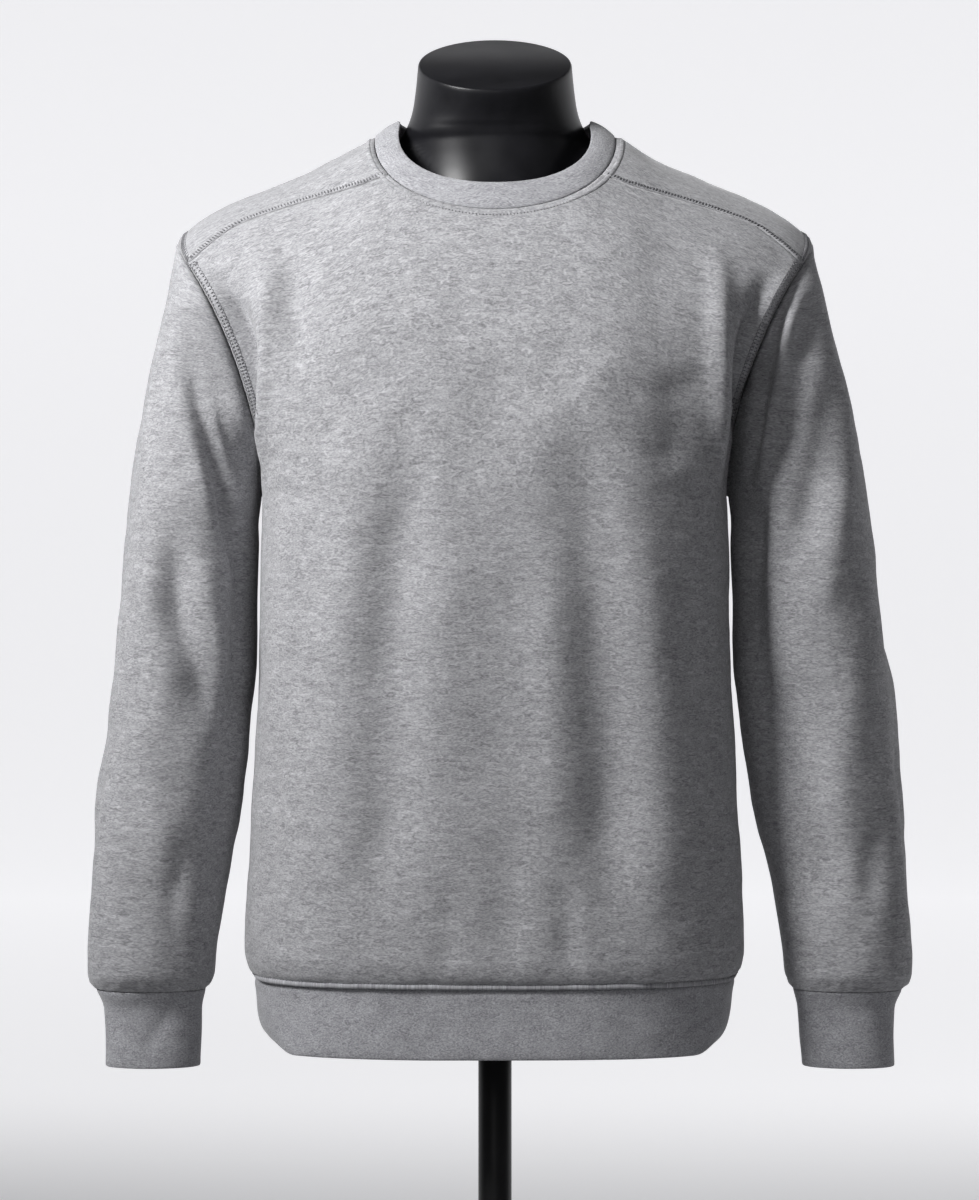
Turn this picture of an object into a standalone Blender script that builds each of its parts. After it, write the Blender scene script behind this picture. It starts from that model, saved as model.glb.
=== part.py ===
"""Crewneck sweatshirt worn by a limbless dress form on a low counter stand.

Metres, +Z up. The front of the garment faces -Y, and the stand rests on Z = 0 with its pole on the Z axis.
Every cloth piece is a thin wall on one shared surface, so that pieces which are sewn together meet edge to
edge. Heights in the tables are measured up from the level of the cuffs' lower edges, at CUFF_LEVEL.
"""

import math
from collections import namedtuple

import bmesh
import bpy
from mathutils import Vector

# ---------------------------------------------------------------- driving dimensions

CUFF_LEVEL = 0.300  # the lower edges of the cuffs, above the counter
HEM_SEAM = 0.068
CUFF_SEAM = 0.058
ARMPIT = 0.425  # height of the armpits
SHOULDER_TIP_X = 0.235  # half the width between the tops of the armholes
ARMHOLE_FRONT = 0.050  # how far the armhole reaches to the front of the arm
ARMHOLE_BACK = 0.056
NECK_HALF_WIDTH = 0.0905  # neck seam
NECK_SIDE = 0.6955
NECK_FRONT_DROP = 0.0640
NECK_BACK_DROP = 0.0165
BAND_WIDTH = 0.0225  # neckband
FLEECE = 0.0018  # thickness of the body cloth
RIB = 0.0026  # thickness of the doubled bands
SEAM_GAP = 0.0003
SLEEVE_CLEARANCE = 0.0015  # between a sleeve and the side of the body

BASE_RADIUS = 0.160
BASE_THICKNESS = 0.008
POLE_RADIUS = 0.0125
COLLAR_RADIUS = 0.022
COLLAR_HEIGHT = 0.028

FRONT, BACK = -1, 1

# ---------------------------------------------------------------- tables

TorsoSection = namedtuple("TorsoSection", "height half_width front_depth back_depth")
TORSO_SECTIONS = [
    TorsoSection(0.068, 0.1800, 0.1215, 0.1120),
    TorsoSection(0.074, 0.1840, 0.1260, 0.1165),
    TorsoSection(0.088, 0.1865, 0.1290, 0.1190),
    TorsoSection(0.130, 0.1850, 0.1300, 0.1180),
    TorsoSection(0.200, 0.1810, 0.1310, 0.1150),
    TorsoSection(0.275, 0.1770, 0.1340, 0.1170),
    TorsoSection(0.350, 0.1750, 0.1380, 0.1250),
    TorsoSection(0.425, 0.1730, 0.1400, 0.1300),
]
TORSO_SQUARENESS = {FRONT: 2.9, BACK: 2.7}

HemSection = namedtuple("HemSection", "height half_width front_depth back_depth")
HEM_SECTIONS = [
    HemSection(0.0680, 0.1800, 0.1215, 0.1120),
    HemSection(0.0550, 0.1775, 0.1200, 0.1100),
    HemSection(0.0350, 0.1765, 0.1195, 0.1090),
    HemSection(0.0155, 0.1755, 0.1190, 0.1085),
]

RidgePoint = namedtuple("RidgePoint", "across height")
SHOULDER_RIDGE = [
    RidgePoint(0.000, 0.7100),
    RidgePoint(0.060, 0.7070),
    RidgePoint(0.0905, 0.6955),
    RidgePoint(0.122, 0.6775),
    RidgePoint(0.154, 0.6630),
    RidgePoint(0.190, 0.6480),
    RidgePoint(0.217, 0.6335),
    RidgePoint(0.235, 0.6195),
]

SleeveSection = namedtuple("SleeveSection", "height inner outer front back")
SLEEVE_SECTIONS = [
    SleeveSection(0.400, 0.1772, 0.2770, 0.067, 0.071),
    SleeveSection(0.330, 0.1775, 0.2835, 0.068, 0.063),
    SleeveSection(0.300, 0.1780, 0.2860, 0.068, 0.059),
    SleeveSection(0.275, 0.1810, 0.2890, 0.067, 0.056),
    SleeveSection(0.200, 0.1880, 0.2970, 0.067, 0.049),
    SleeveSection(0.125, 0.2020, 0.3030, 0.065, 0.039),
    SleeveSection(0.085, 0.2085, 0.3045, 0.062, 0.032),
    SleeveSection(0.070, 0.2095, 0.3040, 0.060, 0.029),
    SleeveSection(0.063, 0.2120, 0.3020, 0.056, 0.025),
    SleeveSection(0.058, 0.2155, 0.2975, 0.052, 0.021),
]
CUFF_SECTIONS = [
    SleeveSection(0.058, 0.2155, 0.2975, 0.052, 0.021),
    SleeveSection(0.043, 0.2185, 0.2915, 0.045, 0.014),
    SleeveSection(0.022, 0.2190, 0.2905, 0.043, 0.012),
    SleeveSection(0.000, 0.2195, 0.2905, 0.042, 0.011),
]
ArmSwing = namedtuple("ArmSwing", "height inner outer")
LEFT_ARM_SWING = [  # the wearer's left arm hangs a little further out than the right
    ArmSwing(0.560, 0.0000, 0.0000),
    ArmSwing(0.420, 0.0000, 0.0050),
    ArmSwing(0.275, 0.0000, 0.0075),
    ArmSwing(0.200, 0.0040, 0.0068),
    ArmSwing(0.125, 0.0060, 0.0060),
    ArmSwing(0.068, 0.0062, 0.0060),
    ArmSwing(0.000, 0.0095, 0.0075),
]
SLEEVE_SQUARENESS = 2.2

ShoulderSeamPoint = namedtuple("ShoulderSeamPoint", "across height")
SHOULDER_SEAM = [  # on the front of the shoulder: the back panel comes over the ridge to meet the front
    ShoulderSeamPoint(0.0785, 0.6580),
    ShoulderSeamPoint(0.0980, 0.6515),
    ShoulderSeamPoint(0.1400, 0.6410),
    ShoulderSeamPoint(0.1720, 0.6315),
    ShoulderSeamPoint(0.1910, 0.6240),
    ShoulderSeamPoint(0.2075, 0.6125),
    ShoulderSeamPoint(0.2250, 0.5970),
]

# A fold runs straight between two places on its piece. "Across" is 0 at the middle and 1 at the side on a
# body panel, and turns round the arm on a sleeve (0 inside, 0.25 front, 0.5 outside, 0.75 back). A positive
# depth is a ridge, a negative one a trough. Both sides of the body have each body fold.
Fold = namedtuple("Fold", "across_low height_low across_high height_high half_width depth")
FRONT_FOLDS = [
    Fold(0.76, 0.330, 0.86, 0.600, 0.085, 0.0080),
    Fold(0.93, 0.400, 0.96, 0.560, 0.050, -0.0040),
    Fold(0.64, 0.470, 0.74, 0.590, 0.080, -0.0035),
    Fold(0.80, 0.060, 0.74, 0.300, 0.060, 0.0025),
]
BACK_FOLDS = [
    Fold(0.78, 0.330, 0.86, 0.580, 0.085, 0.0060),
    Fold(0.62, 0.440, 0.72, 0.580, 0.090, -0.0040),
]
SLEEVE_FOLDS = [
    Fold(0.150, 0.330, 0.300, 0.590, 0.045, -0.0075),
    Fold(0.140, 0.420, 0.190, 0.580, 0.035, 0.0030),
    Fold(0.220, 0.180, 0.350, 0.500, 0.050, -0.0040),
    Fold(0.870, 0.350, 0.700, 0.580, 0.050, -0.0060),
]

FormSection = namedtuple("FormSection", "height half_width front_depth back_depth squareness")
FORM_SECTIONS = [
    FormSection(0.0760, 0.1440, 0.0840, 0.0780, 2.4),
    FormSection(0.0800, 0.1520, 0.0920, 0.0860, 2.4),
    FormSection(0.0920, 0.1570, 0.0970, 0.0910, 2.4),
    FormSection(0.1700, 0.1500, 0.0980, 0.0850, 2.4),
    FormSection(0.2500, 0.1440, 0.1020, 0.0830, 2.4),
    FormSection(0.3400, 0.1520, 0.1120, 0.0950, 2.4),
    FormSection(0.4300, 0.1600, 0.1160, 0.1060, 2.4),
    FormSection(0.5000, 0.1680, 0.1150, 0.1060, 2.3),
    FormSection(0.5500, 0.1860, 0.1060, 0.1000, 2.1),
    FormSection(0.5850, 0.1990, 0.0960, 0.0900, 1.9),
    FormSection(0.6100, 0.2060, 0.0880, 0.0820, 1.8),
    FormSection(0.6250, 0.2080, 0.0820, 0.0760, 1.7),
]
# Above the tops of the arms the form follows the ridge of the shoulders, just under the cloth.
FormShoulder = namedtuple("FormShoulder", "height front_depth back_depth")
FORM_SHOULDERS = [
    FormShoulder(0.6370, 0.0760, 0.0690),
    FormShoulder(0.6480, 0.0690, 0.0620),
    FormShoulder(0.6590, 0.0620, 0.0550),
    FormShoulder(0.6690, 0.0580, 0.0500),
    FormShoulder(0.6790, 0.0560, 0.0460),
]
FormNeck = namedtuple("FormNeck", "height half_width front_depth back_depth")
FORM_NECK = [
    FormNeck(0.6890, 0.0790, 0.0550, 0.0440),
    FormNeck(0.6940, 0.0740, 0.0550, 0.0440),
    FormNeck(0.7000, 0.0690, 0.0550, 0.0440),
    FormNeck(0.7070, 0.0648, 0.0555, 0.0445),
    FormNeck(0.7150, 0.0618, 0.0555, 0.0455),
    FormNeck(0.7300, 0.0596, 0.0555, 0.0485),
    FormNeck(0.7490, 0.0575, 0.0560, 0.0560),
]
FORM_CLEARANCE = 0.0010  # between the cloth and the form along the ridge
NECK_CAP_TILT = math.radians(25.5)

# ---------------------------------------------------------------- resolution

LOWER_ROWS = 11
UPPER_ROWS = 9
YOKE_ROWS = 5
NECK_COLUMNS = 5  # on each side of the middle
SHOULDER_COLUMNS = 6
SLEEVE_CAP_ROWS = 7
SLEEVE_ROWS = 10
FORM_COLUMNS = 40

# ---------------------------------------------------------------- small helpers


def smooth_curve(xs, ys):
    """A smooth function through the points (xs, ys) that holds its end values outside them."""
    pairs = sorted(zip(xs, ys))
    xs, ys = [p[0] for p in pairs], [p[1] for p in pairs]
    slopes = [(b - a) / (d - c) for a, b, c, d in zip(ys, ys[1:], xs, xs[1:])]
    tangents = [slopes[0]]
    for low, high in zip(slopes, slopes[1:]):
        tangents.append(0.0 if low * high <= 0 else 2 * low * high / (low + high))
    tangents.append(slopes[-1])

    def value(x):
        if x <= xs[0]:
            return ys[0]
        if x >= xs[-1]:
            return ys[-1]
        k = max(i for i in range(len(xs) - 1) if xs[i] <= x)
        span = xs[k + 1] - xs[k]
        t = (x - xs[k]) / span
        return (
            ys[k] * (1 + 2 * t) * (1 - t) ** 2
            + ys[k + 1] * t * t * (3 - 2 * t)
            + span * t * (1 - t) * (tangents[k] * (1 - t) - tangents[k + 1] * t)
        )

    return value


def columns_of(rows, key="height"):
    """One smooth function for each column of a table, all read at the key column."""
    xs = [getattr(row, key) for row in rows]
    return {
        name: smooth_curve(xs, [getattr(row, name) for row in rows])
        for name in rows[0]._fields
        if name != key
    }


def mix(a, b, t):
    return a + (b - a) * t


def smoothstep(t):
    t = min(1.0, max(0.0, t))
    return t * t * (3 - 2 * t)


def solve(function, low, high):
    """Where a rising function crosses zero between low and high."""
    for _ in range(40):
        middle = (low + high) / 2
        if function(middle) < 0:
            low = middle
        else:
            high = middle
    return (low + high) / 2


def oval(turn, squareness):
    """(across, along) of a superellipse of unit size. Turn 0 is its side and 1 its front."""
    angle = turn * math.pi / 2
    power = 2 / squareness
    across = abs(math.cos(angle)) ** power * (1 if math.cos(angle) >= 0 else -1)
    along = abs(math.sin(angle)) ** power * (1 if math.sin(angle) >= 0 else -1)
    return across, along


def fold_height(folds, across, height, turning=False):
    """How far the folds lift the cloth at one place."""
    lift = 0.0
    for fold in folds:
        rise = (height - fold.height_low) / (fold.height_high - fold.height_low)
        if not 0 < rise < 1:
            continue
        away = across - mix(fold.across_low, fold.across_high, rise)
        if turning:
            away -= round(away)
        ends = smoothstep(rise / 0.3) * smoothstep((1 - rise) / 0.3)
        lift += fold.depth * ends * math.exp(-((away / fold.half_width) ** 2))
    return lift


# ---------------------------------------------------------------- the body's surface

TORSO = columns_of(TORSO_SECTIONS)
HEM = columns_of(HEM_SECTIONS)
RIDGE = smooth_curve([p.across for p in SHOULDER_RIDGE], [p.height for p in SHOULDER_RIDGE])
RIDGE_Y = 0.008  # the top of the shoulder lies a little behind the middle


def section_point(columns, side, across, height):
    """A point of a body section. Across runs from -1 to 1 between the side seams, through the middle."""
    x, y = oval(1 - abs(across), TORSO_SQUARENESS[side])
    depth = columns["front_depth" if side == FRONT else "back_depth"](height)
    half_width = columns["half_width"](height)
    return Vector((math.copysign(half_width * x, across), side * depth * y, height))


def armhole_x(rise):
    return mix(TORSO["half_width"](ARMPIT), SHOULDER_TIP_X, smoothstep(rise / 0.82))


def shoulder_point(side, across, rise):
    """A point above the armpits. Rise is 0 at the armpits and 1 on the ridge of the shoulder."""
    x, y = oval(1 - abs(across), TORSO_SQUARENESS[side])
    x = math.copysign(armhole_x(rise) * x, across)
    angle = rise * math.pi / 2
    edge = (ARMHOLE_FRONT if side == FRONT else ARMHOLE_BACK) * max(0.0, math.sin(2 * angle)) ** 0.7
    depth = TORSO["front_depth" if side == FRONT else "back_depth"](ARMPIT)
    centre = depth * max(0.0, math.cos(angle)) ** (1.2 if side == FRONT else 0.85)
    height = ARMPIT + (RIDGE(abs(x)) - ARMPIT) * math.sin(angle)
    return Vector((x, side * (edge + (centre - edge) * y) + RIDGE_Y * smoothstep(rise), height))


def across_of(side, x, rise):
    """The across value that puts shoulder_point at x."""
    share = min(1.0, abs(x) / armhole_x(rise))
    turn = math.acos(share ** (TORSO_SQUARENESS[side] / 2)) / (math.pi / 2)
    return math.copysign(1 - turn, x)


def neck_height(side, x):
    share = math.sqrt(max(0.0, 1 - (x / NECK_HALF_WIDTH) ** 2)) ** (0.85 if side == FRONT else 2.0)
    return NECK_SIDE - (NECK_FRONT_DROP if side == FRONT else NECK_BACK_DROP) * share


def neck_rise(side, x):
    """The rise at which the body's surface meets the neck seam."""
    share = (neck_height(side, x) - ARMPIT) / (RIDGE(abs(x)) - ARMPIT)
    return math.asin(min(1.0, share)) / (math.pi / 2)


SEAM_HEIGHT = smooth_curve([p.across for p in SHOULDER_SEAM], [p.height for p in SHOULDER_SEAM])
YOKE_NECK_X = SHOULDER_SEAM[0].across
YOKE_ARM_RISE = 0.655


def rise_at(x, height):
    share = (height - ARMPIT) / (RIDGE(x) - ARMPIT)
    return math.asin(min(1.0, share)) / (math.pi / 2)


def yoke_seam(share):
    """(x, rise) of the shoulder seam, from the neck (share 0) to the armhole (share 1)."""
    x = mix(YOKE_NECK_X, armhole_x(YOKE_ARM_RISE), share)
    start = neck_rise(FRONT, YOKE_NECK_X) - rise_at(YOKE_NECK_X, SEAM_HEIGHT(YOKE_NECK_X))
    end = YOKE_ARM_RISE - rise_at(x, SEAM_HEIGHT(x)) if share == 1 else 0.0
    return x, rise_at(x, SEAM_HEIGHT(x)) + start * (1 - share) ** 3 + end


def neck_x_shares():
    """Where the columns cross the front neck seam, from the middle out to the shoulder seam."""
    widest = math.asin(YOKE_NECK_X / NECK_HALF_WIDTH)
    return [math.sin(widest * k / NECK_COLUMNS) * NECK_HALF_WIDTH for k in range(NECK_COLUMNS + 1)]


def front_top():
    """(across, rise) of each column's top on the front panel, right half."""
    top = [(across_of(FRONT, x, neck_rise(FRONT, x)), neck_rise(FRONT, x)) for x in neck_x_shares()]
    for k in range(1, SHOULDER_COLUMNS + 1):
        x, rise = yoke_seam(k / SHOULDER_COLUMNS)
        top.append((across_of(FRONT, x, rise), rise))
    return top


def back_top():
    """(across, rise) of each column's top on the back of the back panel, right half."""
    top = []
    for k in range(NECK_COLUMNS + 1):
        x = NECK_HALF_WIDTH * math.sin(math.pi / 2 * k / NECK_COLUMNS)
        rise = neck_rise(BACK, x)
        top.append((across_of(BACK, x, rise), rise))
    for k in range(1, SHOULDER_COLUMNS + 1):
        x = mix(NECK_HALF_WIDTH, SHOULDER_TIP_X, k / SHOULDER_COLUMNS)
        top.append((across_of(BACK, x, 1.0), 1.0))
    return top


def body_grid(side, top, folds):
    """Rows of points from the hem seam up to the tops of the columns, left to right."""
    half = len(top) - 1
    columns = [(math.copysign(1, k), abs(k)) for k in range(-half, half + 1)]
    rows = []
    for j in range(LOWER_ROWS + UPPER_ROWS + 1):
        row = []
        for sign, k in columns:
            low = sign * k / half
            if j <= LOWER_ROWS:
                across, rise = low, 0.0
                share = (j / LOWER_ROWS) ** 1.35  # closer together above the hem, where the cloth turns in
                point = section_point(TORSO, side, across, mix(HEM_SEAM, ARMPIT, share))
                free = smoothstep(share * 8)
            else:
                share = (j - LOWER_ROWS) / UPPER_ROWS
                rise = top[k][1] * share
                across = mix(low, sign * top[k][0], smoothstep(share))
                point = shoulder_point(side, across, rise)
                free = smoothstep((1 - share) * 5)
            free *= smoothstep((1 - abs(across)) * 12)
            row.append((point, abs(across), free))
        rows.append(row)
    return lifted(rows, folds)


def lifted(rows, folds):
    """The rows of (point, across, free) as points. Folds move a point as far as it is free of the seams."""
    edge = body_edge()
    normals = grid_normals([[point for point, _, _ in row] for row in rows])
    out = []
    for row, normal_row in zip(rows, normals):
        out.append([])
        for (point, across, free), normal in zip(row, normal_row):
            point = point + normal * free * fold_height(folds, across, point.z)
            if free > 0:
                most = edge(point.z) - 0.0006
                point.x = math.copysign(min(abs(point.x), most), point.x)
            out[-1].append(point)
    return out


def grid_normals(points):
    normals = []
    for j, row in enumerate(points):
        below, above = points[max(0, j - 1)], points[min(len(points) - 1, j + 1)]
        out = []
        for i in range(len(row)):
            left, right = row[max(0, i - 1)], row[min(len(row) - 1, i + 1)]
            out.append((right - left).cross(above[i] - below[i]).normalized())
        normals.append(out)
    return normals


def yoke_grid(sign):
    """The part of the back panel that comes over one shoulder: rows from the ridge to the shoulder seam."""
    rows = []
    for j in range(YOKE_ROWS + 1):
        share = j / YOKE_ROWS
        turn = mix(math.pi / 2, math.asin(YOKE_NECK_X / NECK_HALF_WIDTH), share)
        neck_x = math.sin(turn) * NECK_HALF_WIDTH
        arm = mix(1.0, YOKE_ARM_RISE, share)
        row = []
        for k in range(SHOULDER_COLUMNS + 1):
            out = k / SHOULDER_COLUMNS
            straight = mix(neck_rise(FRONT, YOKE_NECK_X), YOKE_ARM_RISE, out)
            arch = (yoke_seam(out)[1] - straight) * share
            rise = mix(neck_rise(FRONT, neck_x), arm, out) + arch
            x = mix(neck_x, armhole_x(arm), out)
            row.append(shoulder_point(FRONT, across_of(FRONT, x, rise) * sign, rise))
        rows.append(row)
    return rows


# ---------------------------------------------------------------- panels and walls


class Panel:
    """A piece of cloth as outer points and four-sided faces, before it gets its thickness."""

    def __init__(self, name, thickness, material):
        self.name, self.thickness, self.material = name, thickness, material
        self.points, self.faces, self.index = [], [], {}

    def vertex(self, point):
        key = tuple(round(c, 6) for c in point)
        if key not in self.index:
            self.index[key] = len(self.points)
            self.points.append(Vector(point))
        return self.index[key]

    def add_grid(self, rows, closed=False, flip=False):
        """Faces between rows that run left to right and upwards, seen from outside."""
        for low, high in zip(rows, rows[1:]):
            count = len(low) if closed else len(low) - 1
            for i in range(count):
                n = (i + 1) % len(low)
                corners = [low[i], low[n], high[n], high[i]]
                face = [self.vertex(c) for c in (reversed(corners) if flip else corners)]
                face = [v for k, v in enumerate(face) if v != face[k - 1]]
                if len(face) > 2:
                    self.faces.append(face)

    def normals(self):
        sums = [Vector() for _ in self.points]
        for face in self.faces:
            for k, v in enumerate(face):
                before, after = self.points[face[k - 1]], self.points[face[(k + 1) % len(face)]]
                sums[v] += (after - self.points[v]).cross(before - self.points[v])
        return [n.normalized() for n in sums]

    def edge_pull(self):
        """For each point on the panel's edge, the step into the panel that draws its edges back by 1."""
        uses = {}
        for face in self.faces:
            for pair in zip(face, face[1:] + face[:1]):
                uses[frozenset(pair)] = uses.get(frozenset(pair), 0) + 1
        inward = {}
        for face in self.faces:
            p = [self.points[v] for v in face]
            normal = sum((a.cross(b) for a, b in zip(p, p[1:] + p[:1])), Vector())
            for a, b in zip(face, face[1:] + face[:1]):
                if uses[frozenset((a, b))] == 1:
                    step = normal.cross(self.points[b] - self.points[a]).normalized()
                    inward.setdefault(a, []).append(step)
                    inward.setdefault(b, []).append(step)
        pull = {}
        for v, steps in inward.items():
            way = sum(steps, Vector()).normalized()
            pull[v] = way / max(0.5, min(way.dot(step) for step in steps))
        return pull, uses


def place_key(point):
    return tuple(round(c, 5) for c in point)


def wall_ways(groups):
    """For each group of panels, the way out through the wall at each place.

    Sewn edges share it and so stay parallel, except where a sleeve is folded back against the body.
    """
    sums = []
    for group in groups:
        total = {}
        for panel in group:
            for point, normal in zip(panel.points, panel.normals()):
                total[place_key(point)] = total.get(place_key(point), Vector()) + normal
        sums.append({key: way.normalized() for key, way in total.items()})
    ways = []
    for own in sums:
        shared = dict(own)
        for other in sums:
            if other is not own:
                for key in own.keys() & other.keys():
                    if own[key].dot(other[key]) > 0.2:
                        shared[key] = (own[key] + other[key]).normalized()
        ways.append(shared)
    return ways


def build_wall(panel, ways):
    """The panel as a closed wall: its outer face, its inner face and a rim along its edges."""
    pull, uses = panel.edge_pull()
    outer, inner = [], []
    for v, (point, normal) in enumerate(zip(panel.points, panel.normals())):
        way = ways[place_key(point)]
        place = point + pull.get(v, Vector()) * SEAM_GAP * 0.55
        outer.append(place)
        inner.append(place - way * panel.thickness / max(0.6, way.dot(normal)))
    mesh = bmesh.new()
    outside = [mesh.verts.new(p) for p in outer]
    inside = [mesh.verts.new(p) for p in inner]
    for face in panel.faces:
        mesh.faces.new([outside[v] for v in face])
        mesh.faces.new([inside[v] for v in reversed(face)])
        for a, b in zip(face, face[1:] + face[:1]):
            if uses[frozenset((a, b))] == 1:
                # two pieces sewn together split the rim along the same diagonal, so that it does not cross
                if place_key(panel.points[a]) < place_key(panel.points[b]):
                    mesh.faces.new([outside[b], outside[a], inside[b]])
                    mesh.faces.new([outside[a], inside[a], inside[b]])
                else:
                    mesh.faces.new([outside[b], outside[a], inside[a]])
                    mesh.faces.new([outside[b], inside[a], inside[b]])
    bmesh.ops.recalc_face_normals(mesh, faces=mesh.faces)
    place_object(panel.name, mesh, panel.material, lift=CUFF_LEVEL)


def place_object(name, mesh, material, lift=0.0):
    bmesh.ops.translate(mesh, verts=mesh.verts, vec=(0, 0, lift))
    data = bpy.data.meshes.new(name)
    mesh.to_mesh(data)
    mesh.free()
    data.shade_smooth()
    data.set_sharp_from_angle(angle=math.radians(40))
    data.materials.append(material)
    thing = bpy.data.objects.new(name, data)
    bpy.context.scene.collection.objects.link(thing)
    return thing


def make_material(name, colour, roughness, metallic=0.0):
    material = bpy.data.materials.new(name)
    material.use_nodes = True
    shader = material.node_tree.nodes["Principled BSDF"]
    shader.inputs["Base Color"].default_value = (*colour, 1.0)
    shader.inputs["Roughness"].default_value = roughness
    shader.inputs["Metallic"].default_value = metallic
    return material


# ---------------------------------------------------------------- the cloth pieces


def front_panel(cloth):
    panel = Panel("front_panel", FLEECE, cloth)
    panel.add_grid(body_grid(FRONT, front_top(), FRONT_FOLDS))
    return panel


def back_panel(cloth):
    panel = Panel("back_panel", FLEECE, cloth)
    panel.add_grid(body_grid(BACK, back_top(), BACK_FOLDS), flip=True)
    panel.add_grid(yoke_grid(1), flip=True)
    panel.add_grid(yoke_grid(-1))
    return panel


def armhole_loop():
    """Points of the right armhole seam, from the armpit up the front, over the shoulder and down the back."""
    front = [shoulder_point(FRONT, 1, YOKE_ARM_RISE * k / UPPER_ROWS) for k in range(UPPER_ROWS + 1)]
    over = [
        shoulder_point(FRONT, 1, mix(YOKE_ARM_RISE, 1.0, k / YOKE_ROWS)) for k in range(1, YOKE_ROWS + 1)
    ]
    back = [shoulder_point(BACK, 1, 1 - k / UPPER_ROWS) for k in range(1, UPPER_ROWS)]
    return front + over + back


def arm_turns(loop):
    """Each armhole point's place round the arm: 0 at the armpit, 0.5 on top of the shoulder."""
    top = UPPER_ROWS + YOKE_ROWS
    ring = loop + loop[:1]
    lengths = [(b - a).length for a, b in zip(ring, ring[1:])]
    front, back = sum(lengths[:top]), sum(lengths[top:])
    turns, walked = [], 0.0
    for k, step in enumerate(lengths):
        turns.append(0.5 * walked / front if k <= top else 0.5 + 0.5 * (walked - front) / back)
        walked += step
    return turns


def arm_point(columns, turn, height, swing):
    """A point of a sleeve section. Turn 0 is inside, 0.25 at the front, 0.5 outside and 0.75 at the back."""
    x, y = oval(4 * turn, SLEEVE_SQUARENESS)
    inner, outer = columns["inner"](height) + swing[0], columns["outer"](height) + swing[1]
    front, back = columns["front"](height), columns["back"](height)
    middle, depth = (back - front) / 2, (front + back) / 2
    return Vector(((inner + outer) / 2 - x * (outer - inner) / 2, middle - y * depth, height))


def body_edge():
    """Half the body's width, as a function of the height."""
    points = [(s.height, s.half_width) for s in TORSO_SECTIONS[:-1]]
    points += [(p.z, p.x) for p in (shoulder_point(FRONT, 1, k / 16) for k in range(14))]
    return smooth_curve([p[0] for p in points], [p[1] for p in points])


def sleeve_height(share):
    """Sleeve rows, closer together where the cloth turns in above the cuff."""
    return mix(SLEEVE_SECTIONS[0].height, CUFF_SEAM, 1 - (1 - share) ** 1.6)


def sleeve_rows(left):
    columns = columns_of(SLEEVE_SECTIONS)
    edge = body_edge()
    swing = swing_of(left)
    loop = armhole_loop()
    turns = arm_turns(loop)
    start = SLEEVE_SECTIONS[0].height
    rows = []
    for j in range(SLEEVE_ROWS, -1, -1):
        height = sleeve_height(j / SLEEVE_ROWS)
        rows.append([arm_point(columns, turn, height, swing(height)) for turn in turns])
    for j in range(SLEEVE_CAP_ROWS - 1, -1, -1):
        share = j / SLEEVE_CAP_ROWS
        rows.append([cap_point(columns, p, turn, share, swing(start)) for p, turn in zip(loop, turns)])
    normals = closed_normals(rows)
    last = len(rows) - 1
    out = []
    for j, (row, ns) in enumerate(zip(rows, normals)):
        free = smoothstep(j / 3) * smoothstep((last - j) / 3)
        points = [
            p + n * free * fold_height(SLEEVE_FOLDS, turn, p.z, turning=True)
            for p, n, turn in zip(row, ns, turns)
        ]
        if j < last:
            points = [Vector((clear_of(p.x, edge(p.z) + SLEEVE_CLEARANCE), p.y, p.z)) for p in points]
        out.append(points)
    return out


def clear_of(x, least):
    """X moved out where it is needed, to stay beyond the least value allowed."""
    return (x + least + math.hypot(x - least, 0.002)) / 2


def swing_of(left):
    """How far out the inside and the outside of the arm lie, past the tables, as a function of the height."""
    if not left:
        return lambda height: (0.0, 0.0)
    columns = columns_of(LEFT_ARM_SWING)
    return lambda height: (columns["inner"](height), columns["outer"](height))


def closed_normals(rows):
    normals = []
    for j, row in enumerate(rows):
        below, above = rows[max(0, j - 1)], rows[min(len(rows) - 1, j + 1)]
        count = len(row)
        normals.append([
            (row[(i + 1) % count] - row[i - 1]).cross(above[i] - below[i]).normalized() for i in range(count)
        ])
    return normals


def cap_point(columns, seam, turn, share, swing):
    """A point on the sleeve between the armhole seam (share 0) and the first whole section (share 1)."""
    end = arm_point(columns, turn, SLEEVE_SECTIONS[0].height, swing)
    reach = (end - seam).length
    up = (1 - math.cos(2 * math.pi * turn)) / 2  # 0 at the armpit and 1 on the shoulder
    ahead = math.sin(2 * math.pi * turn)
    leave = Vector((0.12 + 0.10 * up, -0.30 * ahead, -1.0)).normalized()
    first, second = seam + leave * reach * 0.4, end + Vector((-0.10 * up, 0, 1)) * reach * 0.35
    rest = 1 - share
    return (
        seam * rest**3
        + first * 3 * rest * rest * share
        + second * 3 * rest * share * share
        + end * share**3
    )


def mirrored(rows):
    return [[Vector((-p.x, p.y, p.z)) for p in row] for row in rows]


def add_tube(panel, rows, left):
    """Sleeve rows are made for the wearer's left arm, at +X, and mirrored for the right."""
    panel.add_grid(rows if left else mirrored(rows), closed=True, flip=not left)
    return panel


def sleeve(name, cloth, left):
    return add_tube(Panel(name, FLEECE, cloth), sleeve_rows(left), left)


def cuff(name, rib, left):
    columns = columns_of(CUFF_SECTIONS)
    swing = swing_of(left)
    turns = arm_turns(armhole_loop())
    rows = [
        [arm_point(columns, turn, s.height, swing(s.height)) for turn in turns] for s in reversed(CUFF_SECTIONS)
    ]
    return add_tube(Panel(name, RIB, rib), rows, left)


def hem_band(rib):
    half = NECK_COLUMNS + SHOULDER_COLUMNS
    panel = Panel("hem_band", RIB, rib)
    rows = []
    for section in reversed(HEM_SECTIONS):
        front = [section_point(HEM, FRONT, k / half, section.height) for k in range(-half, half)]
        back = [section_point(HEM, BACK, -k / half, section.height) for k in range(-half, half)]
        rows.append(front + back)
    panel.add_grid(rows, closed=True)
    return panel


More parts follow.
